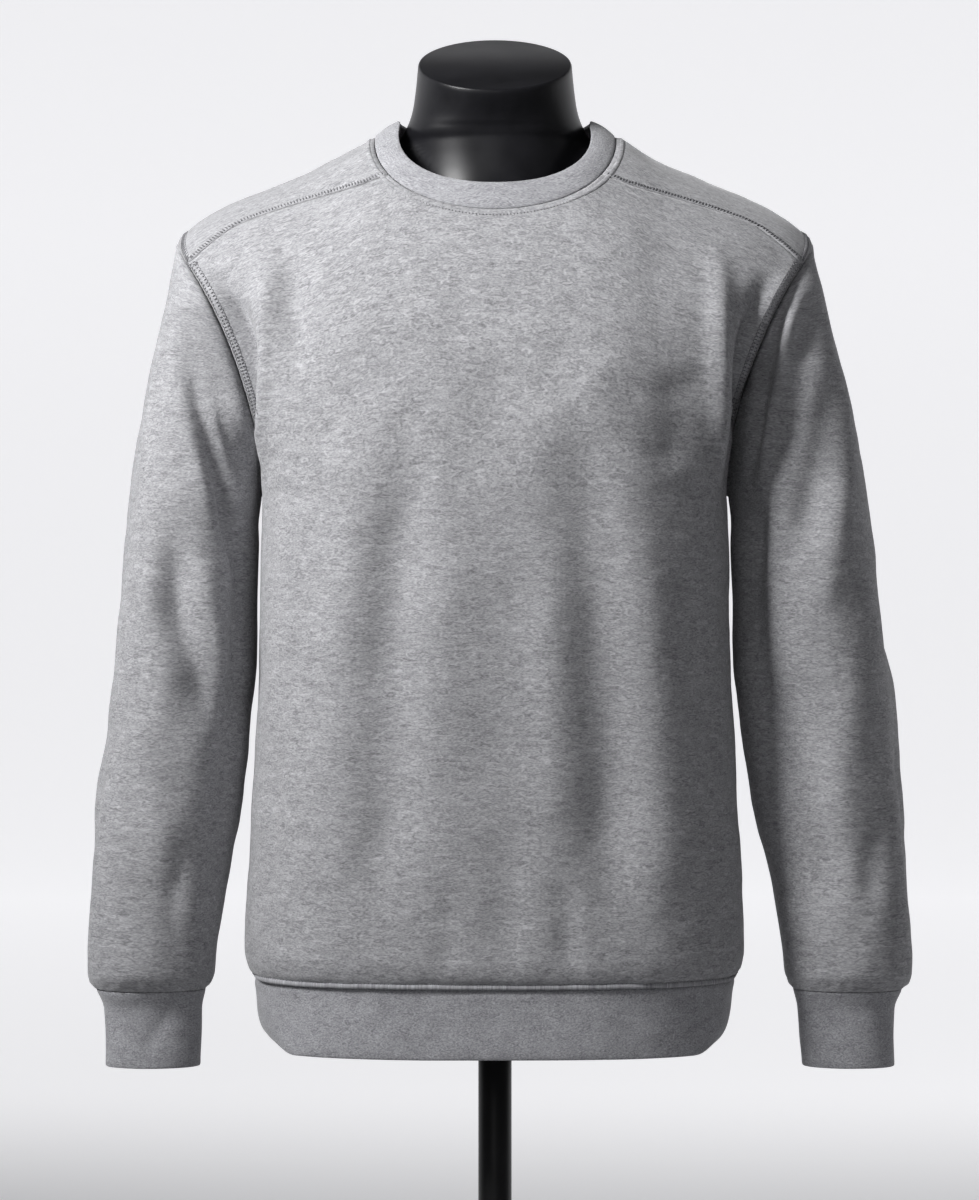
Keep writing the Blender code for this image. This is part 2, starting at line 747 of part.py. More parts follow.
def neck_seam_loop():
    """Points of the neck seam, anticlockwise from above, starting at the middle of the front."""
    front = [shoulder_point(FRONT, across, rise) for across, rise in front_top()[: NECK_COLUMNS + 1]]
    over = [row[0] for row in reversed(yoke_grid(1)[:-1])]
    back = [shoulder_point(BACK, across, rise) for across, rise in back_top()[:NECK_COLUMNS]]
    right = front + over + back[::-1]
    left = [Vector((-p.x, p.y, p.z)) for p in right[1:-1]]
    return right + left[::-1]


def neckband(rib):
    """The band leans in and up from the neck seam, furthest in at the sides."""
    seam = neck_seam_loop()
    middle_y = (min(p.y for p in seam) + max(p.y for p in seam)) / 2
    half_depth = (max(p.y for p in seam) - min(p.y for p in seam)) / 2
    rows = []
    for share in (0.0, 0.45, 1.0):
        row = []
        for p in seam:
            inward = Vector((-p.x / NECK_HALF_WIDTH, -(p.y - middle_y) / half_depth, 0)).normalized()
            lift = mix(0.50, 0.93 if inward.y > 0 else 0.75, abs(inward.y) ** 1.5)
            way = Vector((inward.x, inward.y, 0)) * math.sqrt(1 - lift * lift) + Vector((0, 0, lift))
            bow = Vector((0, 0, 1)) * 0.0016 * math.sin(math.pi * share)
            row.append(p + way * BAND_WIDTH * share + bow)
        rows.append(row)
    panel = Panel("neckband", RIB, rib)
    panel.add_grid(rows, closed=True)
    return panel


# ---------------------------------------------------------------- the dress form and its stand


def form_sections():
    """Every section of the form from the bottom up: (height, half width, front, back, squareness, middle y)."""
    columns = columns_of(FORM_SECTIONS)
    heights = [s.height for s in FORM_SECTIONS]
    sections = []
    for low, high in zip(heights, heights[1:] + heights[-1:]):
        for level in [low, (low + high) / 2] if high - low > 0.045 else [low]:
            middle = RIDGE_Y * smoothstep((level - 0.45) / 0.15)
            sections.append((level, *(columns[name](level) for name in FormSection._fields[1:]), middle))
    drop = (FLEECE + FORM_CLEARANCE) / math.cos(math.radians(24))
    for s in FORM_SHOULDERS:
        reach = solve(lambda x: s.height + drop - RIDGE(x), 0.02, SHOULDER_TIP_X)
        sections.append((s.height, reach, s.front_depth, s.back_depth, 1.65, RIDGE_Y))
    for s in FORM_NECK:
        share = (s.height - FORM_NECK[0].height) / (FORM_NECK[-1].height - FORM_NECK[0].height)
        sections.append((s.height, s.half_width, s.front_depth, s.back_depth, 2.0, RIDGE_Y * (1 - share)))
    return sections


def form_ring(height, half_width, front_depth, back_depth, squareness, middle):
    """One section of the dress form. The neck's sections tilt forward more and more up to the cap."""
    tilt = NECK_CAP_TILT * smoothstep((height - 0.685) / (FORM_NECK[-1].height - 0.685))
    points = []
    for k in range(FORM_COLUMNS):
        x, ahead = oval(4 * k / FORM_COLUMNS, squareness)
        y = middle - ahead * (front_depth if ahead > 0 else back_depth)
        points.append(Vector((half_width * x, y, height + y * math.tan(tilt))))
    return points


def dress_form(lacquer):
    mesh = bmesh.new()
    rings = [[mesh.verts.new(p) for p in form_ring(*section)] for section in form_sections()]
    for low, high in zip(rings, rings[1:]):
        for k in range(FORM_COLUMNS):
            n = (k + 1) % FORM_COLUMNS
            mesh.faces.new([low[k], low[n], high[n], high[k]])
    mesh.faces.new(rings[0])
    mesh.faces.new(rings[-1])
    bmesh.ops.recalc_face_normals(mesh, faces=mesh.faces)
    place_object("dress_form", mesh, lacquer, lift=CUFF_LEVEL)


def turned(name, profile, material, segments=48):
    """A solid turned from its (radius, height) profile, which starts and ends on the axis."""
    mesh = bmesh.new()
    verts = [mesh.verts.new((radius, 0, height)) for radius, height in profile]
    edges = [mesh.edges.new(pair) for pair in zip(verts, verts[1:])]
    bmesh.ops.spin(
        mesh,
        geom=verts + edges,
        cent=(0, 0, 0),
        axis=(0, 0, 1),
        angle=2 * math.pi,
        steps=segments,
        use_merge=True,
    )
    bmesh.ops.remove_doubles(mesh, verts=mesh.verts, dist=1e-6)
    bmesh.ops.recalc_face_normals(mesh, faces=mesh.faces)
    return place_object(name, mesh, material)


def stand(metal):
    edge = 0.002
    turned(
        "base_plate",
        [
            (0, 0),
            (BASE_RADIUS - edge, 0),
            (BASE_RADIUS, edge),
            (BASE_RADIUS, BASE_THICKNESS - edge),
            (BASE_RADIUS - edge, BASE_THICKNESS),
            (0, BASE_THICKNESS),
        ],
        metal,
    )
    foot = BASE_THICKNESS + SEAM_GAP
    turned(
        "pole",
        [
            (0, foot),
            (COLLAR_RADIUS, foot),
            (COLLAR_RADIUS, foot + COLLAR_HEIGHT - edge),
            (COLLAR_RADIUS - edge, foot + COLLAR_HEIGHT),
            (POLE_RADIUS, foot + COLLAR_HEIGHT),
            (POLE_RADIUS, CUFF_LEVEL + FORM_SECTIONS[0].height - SEAM_GAP),
            (0, CUFF_LEVEL + FORM_SECTIONS[0].height - SEAM_GAP),
        ],
        metal,
        segments=32,
    )


# ---------------------------------------------------------------- build


def main():
    for thing in list(bpy.data.objects):
        bpy.data.objects.remove(thing)
    cloth = make_material("grey_marl_fleece", (0.36, 0.36, 0.375), 0.95)
    rib = make_material("grey_marl_rib", (0.38, 0.38, 0.39), 0.95)
    lacquer = make_material("black_lacquer", (0.012, 0.012, 0.014), 0.35)
    metal = make_material("black_metal", (0.01, 0.01, 0.011), 0.4, 0.6)
    body = [front_panel(cloth), back_panel(cloth), hem_band(rib), neckband(rib)]
    right = [sleeve("right_sleeve", cloth, left=False), cuff("right_cuff", rib, left=False)]
    left = [sleeve("left_sleeve", cloth, left=True), cuff("left_cuff", rib, left=True)]
    groups = [body, right, left]
    for group, ways in zip(groups, wall_ways(groups)):
        for panel in group:
            build_wall(panel, ways)
    dress_form(lacquer)
    stand(metal)


main()
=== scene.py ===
"""Grey marl crewneck sweatshirt on a black limbless dress form, standing on a pole and a round base.

Metres, +Z up, and the front of the garment faces -Y. Heights in the tables are measured up from CUFF_LEVEL.
"""

import math
from collections import namedtuple
from functools import lru_cache

import bmesh
import bpy
import numpy as np
from mathutils import Matrix, Vector, noise
from mathutils.bvhtree import BVHTree


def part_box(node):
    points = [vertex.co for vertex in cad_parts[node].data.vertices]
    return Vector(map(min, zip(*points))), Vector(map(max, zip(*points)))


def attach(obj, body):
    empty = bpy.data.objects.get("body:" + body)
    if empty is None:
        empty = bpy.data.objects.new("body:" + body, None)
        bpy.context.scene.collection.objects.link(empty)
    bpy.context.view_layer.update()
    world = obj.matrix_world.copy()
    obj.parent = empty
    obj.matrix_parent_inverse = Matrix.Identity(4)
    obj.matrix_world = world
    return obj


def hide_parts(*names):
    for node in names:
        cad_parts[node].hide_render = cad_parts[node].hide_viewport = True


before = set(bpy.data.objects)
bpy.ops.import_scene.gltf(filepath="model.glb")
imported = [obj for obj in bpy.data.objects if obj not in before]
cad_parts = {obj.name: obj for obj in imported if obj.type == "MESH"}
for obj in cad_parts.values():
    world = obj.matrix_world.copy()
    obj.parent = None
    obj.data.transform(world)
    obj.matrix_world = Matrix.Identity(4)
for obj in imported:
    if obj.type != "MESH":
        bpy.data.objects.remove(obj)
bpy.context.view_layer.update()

# ---------------------------------------------------------------- the pattern's dimensions

CUFF_LEVEL = 0.300
HEM_SEAM = 0.068
CUFF_SEAM = 0.058
ARMPIT = 0.425
SHOULDER_TIP_X = 0.235
ARMHOLE_FRONT = 0.050
ARMHOLE_BACK = 0.056
NECK_HALF_WIDTH = 0.0905
NECK_SIDE = 0.6955
NECK_FRONT_DROP = 0.0640
NECK_BACK_DROP = 0.0165
BAND_WIDTH = 0.0225
FLEECE = 0.0018
RIB = 0.0026
SLEEVE_CLEARANCE = 0.0015
RIDGE_Y = 0.008
YOKE_ARM_RISE = 0.655
FRONT, BACK = -1, 1


def rows_of(kind, *rows):
    return [kind(*row) for row in rows]


TorsoSection = namedtuple("TorsoSection", "height half_width front_depth back_depth")
TORSO_SECTIONS = rows_of(
    TorsoSection,
    (0.068, 0.1800, 0.1215, 0.1120),
    (0.074, 0.1840, 0.1260, 0.1165),
    (0.088, 0.1865, 0.1290, 0.1190),
    (0.130, 0.1850, 0.1300, 0.1180),
    (0.200, 0.1810, 0.1310, 0.1150),
    (0.275, 0.1770, 0.1340, 0.1170),
    (0.350, 0.1750, 0.1380, 0.1250),
    (0.425, 0.1730, 0.1400, 0.1300),
)
TORSO_SQUARENESS = {FRONT: 2.9, BACK: 2.7}
HEM_SECTIONS = rows_of(
    TorsoSection,
    (0.0680, 0.1800, 0.1215, 0.1120),
    (0.0550, 0.1775, 0.1200, 0.1100),
    (0.0350, 0.1765, 0.1195, 0.1090),
    (0.0155, 0.1755, 0.1190, 0.1085),
)

RidgePoint = namedtuple("RidgePoint", "across height")
SHOULDER_RIDGE = rows_of(
    RidgePoint,
    (0.000, 0.7100),
    (0.060, 0.7070),
    (0.0905, 0.6955),
    (0.122, 0.6775),
    (0.154, 0.6630),
    (0.190, 0.6480),
    (0.217, 0.6335),
    (0.235, 0.6195),
)
SHOULDER_SEAM = rows_of(
    RidgePoint,
    (0.0785, 0.6580),
    (0.0980, 0.6515),
    (0.1400, 0.6410),
    (0.1720, 0.6315),
    (0.1910, 0.6240),
    (0.2075, 0.6125),
    (0.2250, 0.5970),
)

SleeveSection = namedtuple("SleeveSection", "height inner outer front back")
SLEEVE_SECTIONS = rows_of(
    SleeveSection,
    (0.400, 0.1772, 0.2770, 0.067, 0.071),
    (0.330, 0.1775, 0.2835, 0.068, 0.063),
    (0.300, 0.1780, 0.2860, 0.068, 0.059),
    (0.275, 0.1810, 0.2890, 0.067, 0.056),
    (0.200, 0.1880, 0.2970, 0.067, 0.049),
    (0.125, 0.2020, 0.3030, 0.065, 0.039),
    (0.085, 0.2085, 0.3045, 0.062, 0.032),
    (0.070, 0.2095, 0.3040, 0.060, 0.029),
    (0.063, 0.2120, 0.3020, 0.056, 0.025),
    (0.058, 0.2155, 0.2975, 0.052, 0.021),
)
CUFF_SECTIONS = rows_of(
    SleeveSection,
    (0.058, 0.2155, 0.2975, 0.052, 0.021),
    (0.043, 0.2185, 0.2915, 0.045, 0.014),
    (0.022, 0.2190, 0.2905, 0.043, 0.012),
    (0.000, 0.2195, 0.2905, 0.042, 0.011),
)
ArmSwing = namedtuple("ArmSwing", "height inner outer")
LEFT_ARM_SWING = rows_of(
    ArmSwing,
    (0.560, 0.0000, 0.0000),
    (0.420, 0.0000, 0.0050),
    (0.275, 0.0000, 0.0075),
    (0.200, 0.0040, 0.0068),
    (0.125, 0.0060, 0.0060),
    (0.068, 0.0062, 0.0060),
    (0.000, 0.0095, 0.0075),
)
SLEEVE_SQUARENESS = 2.2

FormSection = namedtuple("FormSection", "height half_width front_depth back_depth squareness")
FORM_SECTIONS = rows_of(
    FormSection,
    (0.0760, 0.1440, 0.0840, 0.0780, 2.4),
    (0.0800, 0.1520, 0.0920, 0.0860, 2.4),
    (0.0920, 0.1570, 0.0970, 0.0910, 2.4),
    (0.1700, 0.1500, 0.0980, 0.0850, 2.4),
    (0.2500, 0.1440, 0.1020, 0.0830, 2.4),
    (0.3400, 0.1520, 0.1120, 0.0950, 2.4),
    (0.4300, 0.1600, 0.1160, 0.1060, 2.4),
    (0.5000, 0.1680, 0.1150, 0.1060, 2.3),
    (0.5500, 0.1860, 0.1060, 0.1000, 2.1),
    (0.5850, 0.1990, 0.0960, 0.0900, 1.9),
    (0.6100, 0.2060, 0.0880, 0.0820, 1.8),
    (0.6250, 0.2080, 0.0820, 0.0760, 1.7),
)
FormShoulder = namedtuple("FormShoulder", "height front_depth back_depth squareness")
FORM_SHOULDERS = rows_of(
    FormShoulder,
    (0.6370, 0.0690, 0.0690, 1.65),
    (0.6480, 0.0620, 0.0620, 1.65),
    (0.6590, 0.0580, 0.0550, 1.65),
    (0.6690, 0.0562, 0.0500, 1.65),
    (0.6790, 0.0553, 0.0460, 1.65),
)
FORM_NECK = rows_of(
    FormSection,
    (0.6890, 0.0765, 0.0550, 0.0440, 2.0),
    (0.6940, 0.0710, 0.0550, 0.0440, 2.0),
    (0.7000, 0.0670, 0.0550, 0.0440, 2.0),
    (0.7070, 0.0638, 0.0555, 0.0445, 2.0),
    (0.7150, 0.0615, 0.0555, 0.0455, 2.0),
    (0.7300, 0.0593, 0.0555, 0.0485, 2.0),
    (0.7490, 0.0575, 0.0560, 0.0560, 2.0),
)
NECK_FRONT_HALF_WIDTH = 0.0662
FORM_CLEARANCE = 0.0010
NECK_CAP_TILT = math.radians(25.5)

# ---------------------------------------------------------------- creases
#
# A crease runs through its places on the cloth, found straight back from the side named in its table. A row is
# its places, each (across, height), how far it spreads to either side, and its depth: above 0 a ridge and below
# 0 a trough. The tables are in millimetres.

Crease = namedtuple("Crease", "places half_width depth")


def crease_table(rows):
    return [
        Crease([(across / 1000, height / 1000) for across, height in places], half_width / 1000, depth / 1000)
        for places, half_width, depth in rows
    ]


FRONT_CREASES = crease_table([
    # the two long drapes of the belly, with the swells beside them
    ([(-52, 500), (-73, 347), (-77, 258), (-82, 169), (-86, 85)], 20, -6.2),
    ([(-98, 445), (-109, 347), (-113, 258), (-118, 120)], 20, 3.2),
    ([(-30, 433), (-38, 333), (-40, 233), (-42, 130)], 18, 2),
    ([(58, 510), (72, 347), (78, 258), (83, 169), (83, 80)], 22, -7.3),
    ([(40, 420), (43, 276), (45, 140)], 18, 3),
    ([(104, 440), (113, 311), (120, 204), (122, 85)], 20, 3.8),
    ([(9, 190), (8, 74)], 10, -3.4),
    ([(-35, 135), (-37, 74)], 9, -2.2),
    ([(50, 150), (52, 74)], 9, -2.6),
    ([(152, 330), (160, 150)], 12, -3),
    ([(-160, 240), (-165, 120)], 12, -3),
    # the chest
    ([(136, 520), (131, 433)], 22, -4.6),
    ([(-120, 510), (-112, 440)], 24, -2.2),
    ([(12, 540), (4, 490), (0, 430)], 26, -2.6),
    ([(70, 560), (72, 500), (66, 450)], 24, 2.4),
    # the folds that fall from the armpits
    ([(-151, 604), (-146, 562), (-142, 490)], 11, -4.2),
    ([(-166, 602), (-168, 562), (-170, 510), (-170, 420)], 9, 5),
    ([(-210, 596), (-192, 560), (-183, 530), (-178, 495), (-175, 450)], 13, -11.5),
    ([(164, 610), (163, 540), (164, 420)], 10, 6.6),
    ([(211, 596), (194, 560), (185, 530), (180, 490), (178, 430)], 12, -11.5),
])
BACK_CREASES = crease_table([
    ([(-92, 470), (-85, 380), (-80, 280), (-86, 110)], 16, -6.5),
    ([(-125, 450), (-132, 300), (-128, 120)], 18, 4),
    ([(80, 455), (86, 360), (94, 240), (90, 100)], 15, -6),
    ([(118, 440), (126, 300), (124, 130)], 18, 4.2),
    ([(14, 320), (10, 210), (16, 110)], 14, -4),
    ([(-30, 330), (-26, 180), (-30, 90)], 15, 2.6),
    ([(50, 340), (52, 200), (50, 100)], 14, 2.4),
    ([(178, 600), (160, 520), (140, 440)], 14, -5),
    ([(160, 600), (138, 500)], 14, 3),
    ([(-180, 590), (-164, 520), (-148, 430)], 14, -5.5),
    ([(-158, 590), (-136, 490)], 14, 3),
    ([(-60, 640), (0, 615), (64, 642)], 16, 1.6),
    ([(-52, 600), (4, 580), (58, 604)], 14, -1.6),
])
# the sleeve on the wearer's right is at -X
RIGHT_SLEEVE_CREASES = {
    "front": crease_table([
        ([(-209, 530), (-199, 492), (-189, 458), (-183, 430)], 10, -6.2),
        ([(-184, 440), (-184, 380), (-187, 320), (-193, 240), (-205, 160), (-212, 90)], 18, -8),
        ([(-225.4, 545), (-219.5, 503), (-208.4, 460), (-195.9, 414), (-185.6, 372), (-180, 336)], 10, -10.5),
        ([(-229, 503), (-212, 436), (-201, 393)], 10, 4.8),
        ([(-235, 405), (-236, 372), (-232, 336), (-222, 307), (-215, 281), (-204, 248)], 13, -9.5),
        ([(-254, 385), (-253, 333), (-245, 288), (-236, 240)], 14, 4.2),
        ([(-217, 380), (-207, 340), (-199, 303), (-194, 262)], 10, 4.6),
        ([(-262, 280), (-250, 210), (-238, 150)], 14, 3),
        ([(-270, 240), (-262, 170), (-250, 110)], 12, -1.6),
        ([(-222, 180), (-236, 120), (-232, 75)], 11, -3.6),
        ([(-232, 600), (-247, 540), (-252, 470)], 12, -2.2),
    ]),
    "back": crease_table([
        ([(-232, 540), (-215, 450), (-192, 370)], 11, -10),
        ([(-250, 500), (-238, 400), (-210, 310)], 13, 5.5),
        ([(-258, 360), (-240, 270), (-222, 190)], 13, -6),
        ([(-270, 220), (-250, 110)], 12, -3),
    ]),
    "right": crease_table([
        ([(20, 470), (0, 360), (-24, 260)], 14, -4.5),
        ([(-12, 300), (-20, 180), (-12, 85)], 12, -4),
        ([(4, 250), (6, 120)], 12, 3),
    ]),
}
LEFT_SLEEVE_CREASES = {
    "front": crease_table([
        ([(184, 470), (186, 400), (190, 330), (200, 250), (212, 170), (220, 90)], 18, -8),
        ([(213, 600), (205, 545), (196, 490), (187, 430)], 8, -8),
        ([(224, 590), (213.6, 536), (206.2, 502), (193, 436)], 7, 6.2),
        ([(231, 560), (222, 500), (208, 440)], 8, -4),
        ([(252.6, 520), (240.8, 458), (229, 413), (217.3, 369)], 16, -7),
        ([(260, 450), (250, 390), (236, 330)], 14, 3.4),
        ([(196, 420), (188, 360)], 9, -6),
        ([(268, 320), (256, 230), (240, 150)], 18, 3.4),
        ([(205, 300), (222, 230), (236, 165), (242, 100)], 16, -6.2),
        ([(284, 200), (272, 110)], 11, -3),
    ]),
    "back": crease_table([
        ([(230, 550), (212, 460), (190, 385)], 11, -10.5),
        ([(250, 510), (236, 410), (208, 320)], 13, 5.5),
        ([(262, 380), (246, 280), (230, 200)], 13, -6),
        ([(276, 230), (262, 120)], 12, -3),
    ]),
    "left": crease_table([
        ([(30, 500), (10, 380), (-20, 280)], 14, -4.5),
        ([(-20, 260), (-24, 100)], 12, -3.5),
        ([(6, 330), (2, 160)], 13, 3),
    ]),
}
CUFF_CREASES = {
    "front": crease_table([([(235, 45), (252, 26), (262, 4)], 6, -1.4)]),
    "back": crease_table([([(262, 50), (250, 14)], 6, -1.2)]),
}

# ---------------------------------------------------------------- small helpers


def smooth_curve(xs, ys):
    """A smooth function through the points (xs, ys) that holds its end values outside them."""
    pairs = sorted(zip(xs, ys))
    xs, ys = [p[0] for p in pairs], [p[1] for p in pairs]
    slopes = [(b - a) / (d - c) for a, b, c, d in zip(ys, ys[1:], xs, xs[1:])]
    tangents = [slopes[0]]
    for low, high in zip(slopes, slopes[1:]):
        tangents.append(0.0 if low * high <= 0 else 2 * low * high / (low + high))
    tangents.append(slopes[-1])

    def value(x):
        if x <= xs[0]:
            return ys[0]
        if x >= xs[-1]:
            return ys[-1]
        k = max(i for i in range(len(xs) - 1) if xs[i] <= x)
        span = xs[k + 1] - xs[k]
        t = (x - xs[k]) / span
        return (
            ys[k] * (1 + 2 * t) * (1 - t) ** 2
            + ys[k + 1] * t * t * (3 - 2 * t)
            + span * t * (1 - t) * (tangents[k] * (1 - t) - tangents[k + 1] * t)
        )

    return lru_cache(maxsize=None)(value)


def columns_of(rows, key="height"):
    """One smooth function for each column of a table, all read at the key column."""
    xs = [getattr(row, key) for row in rows]
    return {
        name: smooth_curve(xs, [getattr(row, name) for row in rows])
        for name in rows[0]._fields
        if name != key
    }


def mix(a, b, t):
    return a + (b - a) * t


def smoothstep(t):
    t = min(1.0, max(0.0, t))
    return t * t * (3 - 2 * t)


def smoothsteps(t):
    t = np.clip(t, 0.0, 1.0)
    return t * t * (3 - 2 * t)


def oval(turn, squareness):
    """(across, along) of a superellipse of unit size. Turn 0 is its side and 1 its front."""
    angle = turn * math.pi / 2
    power = 2 / squareness
    across = abs(math.cos(angle)) ** power * (1 if math.cos(angle) >= 0 else -1)
    along = abs(math.sin(angle)) ** power * (1 if math.sin(angle) >= 0 else -1)
    return across, along


# ---------------------------------------------------------------- the body's surface

TORSO = columns_of(TORSO_SECTIONS)
HEM = columns_of(HEM_SECTIONS)
RIDGE = smooth_curve([p.across for p in SHOULDER_RIDGE], [p.height for p in SHOULDER_RIDGE])
SEAM_HEIGHT = smooth_curve([p.across for p in SHOULDER_SEAM], [p.height for p in SHOULDER_SEAM])
YOKE_NECK_X = SHOULDER_SEAM[0].across
NECK_SHARE = 5 / 11  # how much of each half panel's width ends at the neck
UPPER_LENGTH = 0.31  # of the cloth, from the armpits to the ridge
BELOW_ARMPITS = 0.55  # how much of a panel's climb lies below the armpits


def section_point(columns, side, across, height):
    """A point of a body section. Across runs from -1 to 1 between the side seams, through the middle."""
    x, y = oval(1 - abs(across), TORSO_SQUARENESS[side])
    depth = columns["front_depth" if side == FRONT else "back_depth"](height)
    half_width = columns["half_width"](height)
    return Vector((math.copysign(half_width * x, across), side * depth * y, height))


def armhole_x(rise):
    return mix(TORSO["half_width"](ARMPIT), SHOULDER_TIP_X, smoothstep(rise / 0.82))


def shoulder_point(side, across, rise):
    """A point above the armpits. Rise is 0 at the armpits and 1 on the ridge of the shoulder."""
    x, y = oval(1 - abs(across), TORSO_SQUARENESS[side])
    x = math.copysign(armhole_x(rise) * x, across)
    angle = rise * math.pi / 2
    edge = (ARMHOLE_FRONT if side == FRONT else ARMHOLE_BACK) * max(0.0, math.sin(2 * angle)) ** 0.7
    depth = TORSO["front_depth" if side == FRONT else "back_depth"](ARMPIT)
    centre = depth * max(0.0, math.cos(angle)) ** (1.2 if side == FRONT else 0.85)
    height = ARMPIT + (RIDGE(abs(x)) - ARMPIT) * math.sin(angle)
    return Vector((x, side * (edge + (centre - edge) * y) + RIDGE_Y * smoothstep(rise), height))


def across_of(side, x, rise):
    """The across value that puts shoulder_point at x."""
    share = min(1.0, abs(x) / armhole_x(rise))
    turn = math.acos(share ** (TORSO_SQUARENESS[side] / 2)) / (math.pi / 2)
    return math.copysign(1 - turn, x)


def neck_height(side, x):
    share = math.sqrt(max(0.0, 1 - (x / NECK_HALF_WIDTH) ** 2)) ** (0.85 if side == FRONT else 2.0)
    return NECK_SIDE - (NECK_FRONT_DROP if side == FRONT else NECK_BACK_DROP) * share


def rise_at(x, height):
    share = (height - ARMPIT) / (RIDGE(abs(x)) - ARMPIT)
    return math.asin(min(1.0, share)) / (math.pi / 2)


def neck_rise(side, x):
    """The rise at which the body's surface meets the neck seam."""
    return rise_at(x, neck_height(side, x))


def yoke_seam(share):
    """(x, rise) of the shoulder seam, from the neck (share 0) to the armhole (share 1)."""
    x = mix(YOKE_NECK_X, armhole_x(YOKE_ARM_RISE), share)
    start = neck_rise(FRONT, YOKE_NECK_X) - rise_at(YOKE_NECK_X, SEAM_HEIGHT(YOKE_NECK_X))
    last = armhole_x(YOKE_ARM_RISE)
    end = (YOKE_ARM_RISE - rise_at(last, SEAM_HEIGHT(last))) * share**8
    return x, rise_at(x, SEAM_HEIGHT(x)) + start * (1 - share) ** 3 + end


@lru_cache(maxsize=None)
def front_top(part):
    """(across, rise) where the front panel ends, at a part of its half width from the middle (0) out."""
    if part <= NECK_SHARE:
        widest = math.asin(YOKE_NECK_X / NECK_HALF_WIDTH)
        x = math.sin(widest * part / NECK_SHARE) * NECK_HALF_WIDTH
        rise = neck_rise(FRONT, x)
    else:
        x, rise = yoke_seam((part - NECK_SHARE) / (1 - NECK_SHARE))
    return across_of(FRONT, x, rise), rise


@lru_cache(maxsize=None)
def back_top(part):
    """(across, rise) where the back of the back panel ends: at the neck, and on the ridge of the shoulder."""
    if part <= NECK_SHARE:
        x = NECK_HALF_WIDTH * math.sin(math.pi / 2 * part / NECK_SHARE)
        rise = neck_rise(BACK, x)
    else:
        x = mix(NECK_HALF_WIDTH, SHOULDER_TIP_X, (part - NECK_SHARE) / (1 - NECK_SHARE))
        rise = 1.0
    return across_of(BACK, x, rise), rise


def body_place(side, across, climb):
    """(point, height in the cut) on a body panel. Climb is 0 at the hem seam, 1 at the panel's top."""
    if climb <= BELOW_ARMPITS:
        height = mix(HEM_SEAM, ARMPIT, (climb / BELOW_ARMPITS) ** 1.35)
        return section_point(TORSO, side, across, height), height
    share = (climb - BELOW_ARMPITS) / (1 - BELOW_ARMPITS)
    top_across, top_rise = (front_top if side == FRONT else back_top)(round(abs(across), 6))
    rise = top_rise * share
    along = mix(across, math.copysign(top_across, across), smoothstep(share))
    return shoulder_point(side, along, rise), ARMPIT + UPPER_LENGTH * rise


def yoke_place(sign, out, share):
    """(point, height in the cut) on the part of the back panel that comes over one shoulder."""
    turn = mix(math.pi / 2, math.asin(YOKE_NECK_X / NECK_HALF_WIDTH), share)
    neck_x = math.sin(turn) * NECK_HALF_WIDTH
    arm = mix(1.0, YOKE_ARM_RISE, share)
    straight = mix(neck_rise(FRONT, YOKE_NECK_X), YOKE_ARM_RISE, out)
    arch = (yoke_seam(out)[1] - straight) * share
    rise = mix(neck_rise(FRONT, neck_x), arm, out) + arch
    x = mix(neck_x, armhole_x(arm), out)
    point = shoulder_point(FRONT, across_of(FRONT, x, rise) * sign, rise)
    return point, ARMPIT + UPPER_LENGTH * (2 - rise)


# ---------------------------------------------------------------- the arms' surface

LOW_SECTIONS, ARMHOLE_EDGE = TORSO_SECTIONS[:-1], [shoulder_point(FRONT, 1, k / 16) for k in range(14)]
BODY_EDGE = smooth_curve(
    [s.height for s in LOW_SECTIONS] + [p.z for p in ARMHOLE_EDGE],
    [s.half_width for s in LOW_SECTIONS] + [p.x for p in ARMHOLE_EDGE],
)
SLEEVE = columns_of(SLEEVE_SECTIONS)
CUFF = columns_of(CUFF_SECTIONS)
SWING = columns_of(LEFT_ARM_SWING)
SLEEVE_TOP = SLEEVE_SECTIONS[0].height


def swing_at(left, height):
    return (SWING["inner"](height), SWING["outer"](height)) if left else (0.0, 0.0)


def walked(points):
    """How far along its points a line has come at each of them, from 0 to 1."""
    steps = [0.0]
    for a, b in zip(points, points[1:]):
        steps.append(steps[-1] + (b - a).length)
    return [s / steps[-1] for s in steps]


def even_rise(side):
    """The rise at each even share of the way up one side of the armhole."""
    rises = [k / 80 for k in range(81)]
    return smooth_curve(walked([shoulder_point(side, 1, rise) for rise in rises]), rises)


ARMHOLE_RISE = {side: even_rise(side) for side in (FRONT, BACK)}


def armhole_point(turn):
    """The armhole seam: turn 0 is the armpit, 0.25 the front, 0.5 the top of the shoulder, 0.75 the back."""
    side, way = (FRONT, turn * 2) if turn <= 0.5 else (BACK, 2 - turn * 2)
    return shoulder_point(side, 1, ARMHOLE_RISE[side](way))


def arm_point(columns, turn, height, swing):
    """A point of a sleeve section. Turn 0 is inside, 0.25 at the front, 0.5 outside and 0.75 at the back."""
    x, y = oval(4 * turn, SLEEVE_SQUARENESS)
    inner, outer = columns["inner"](height) + swing[0], columns["outer"](height) + swing[1]
    front, back = columns["front"](height), columns["back"](height)
    middle, depth = (back - front) / 2, (front + back) / 2
    return Vector(((inner + outer) / 2 - x * (outer - inner) / 2, middle - y * depth, height))


CAP_OUT, CAP_OUT_TOP, CAP_AHEAD = 0.12, 0.10, 0.30  # how the sleeve's cloth leaves the armhole seam


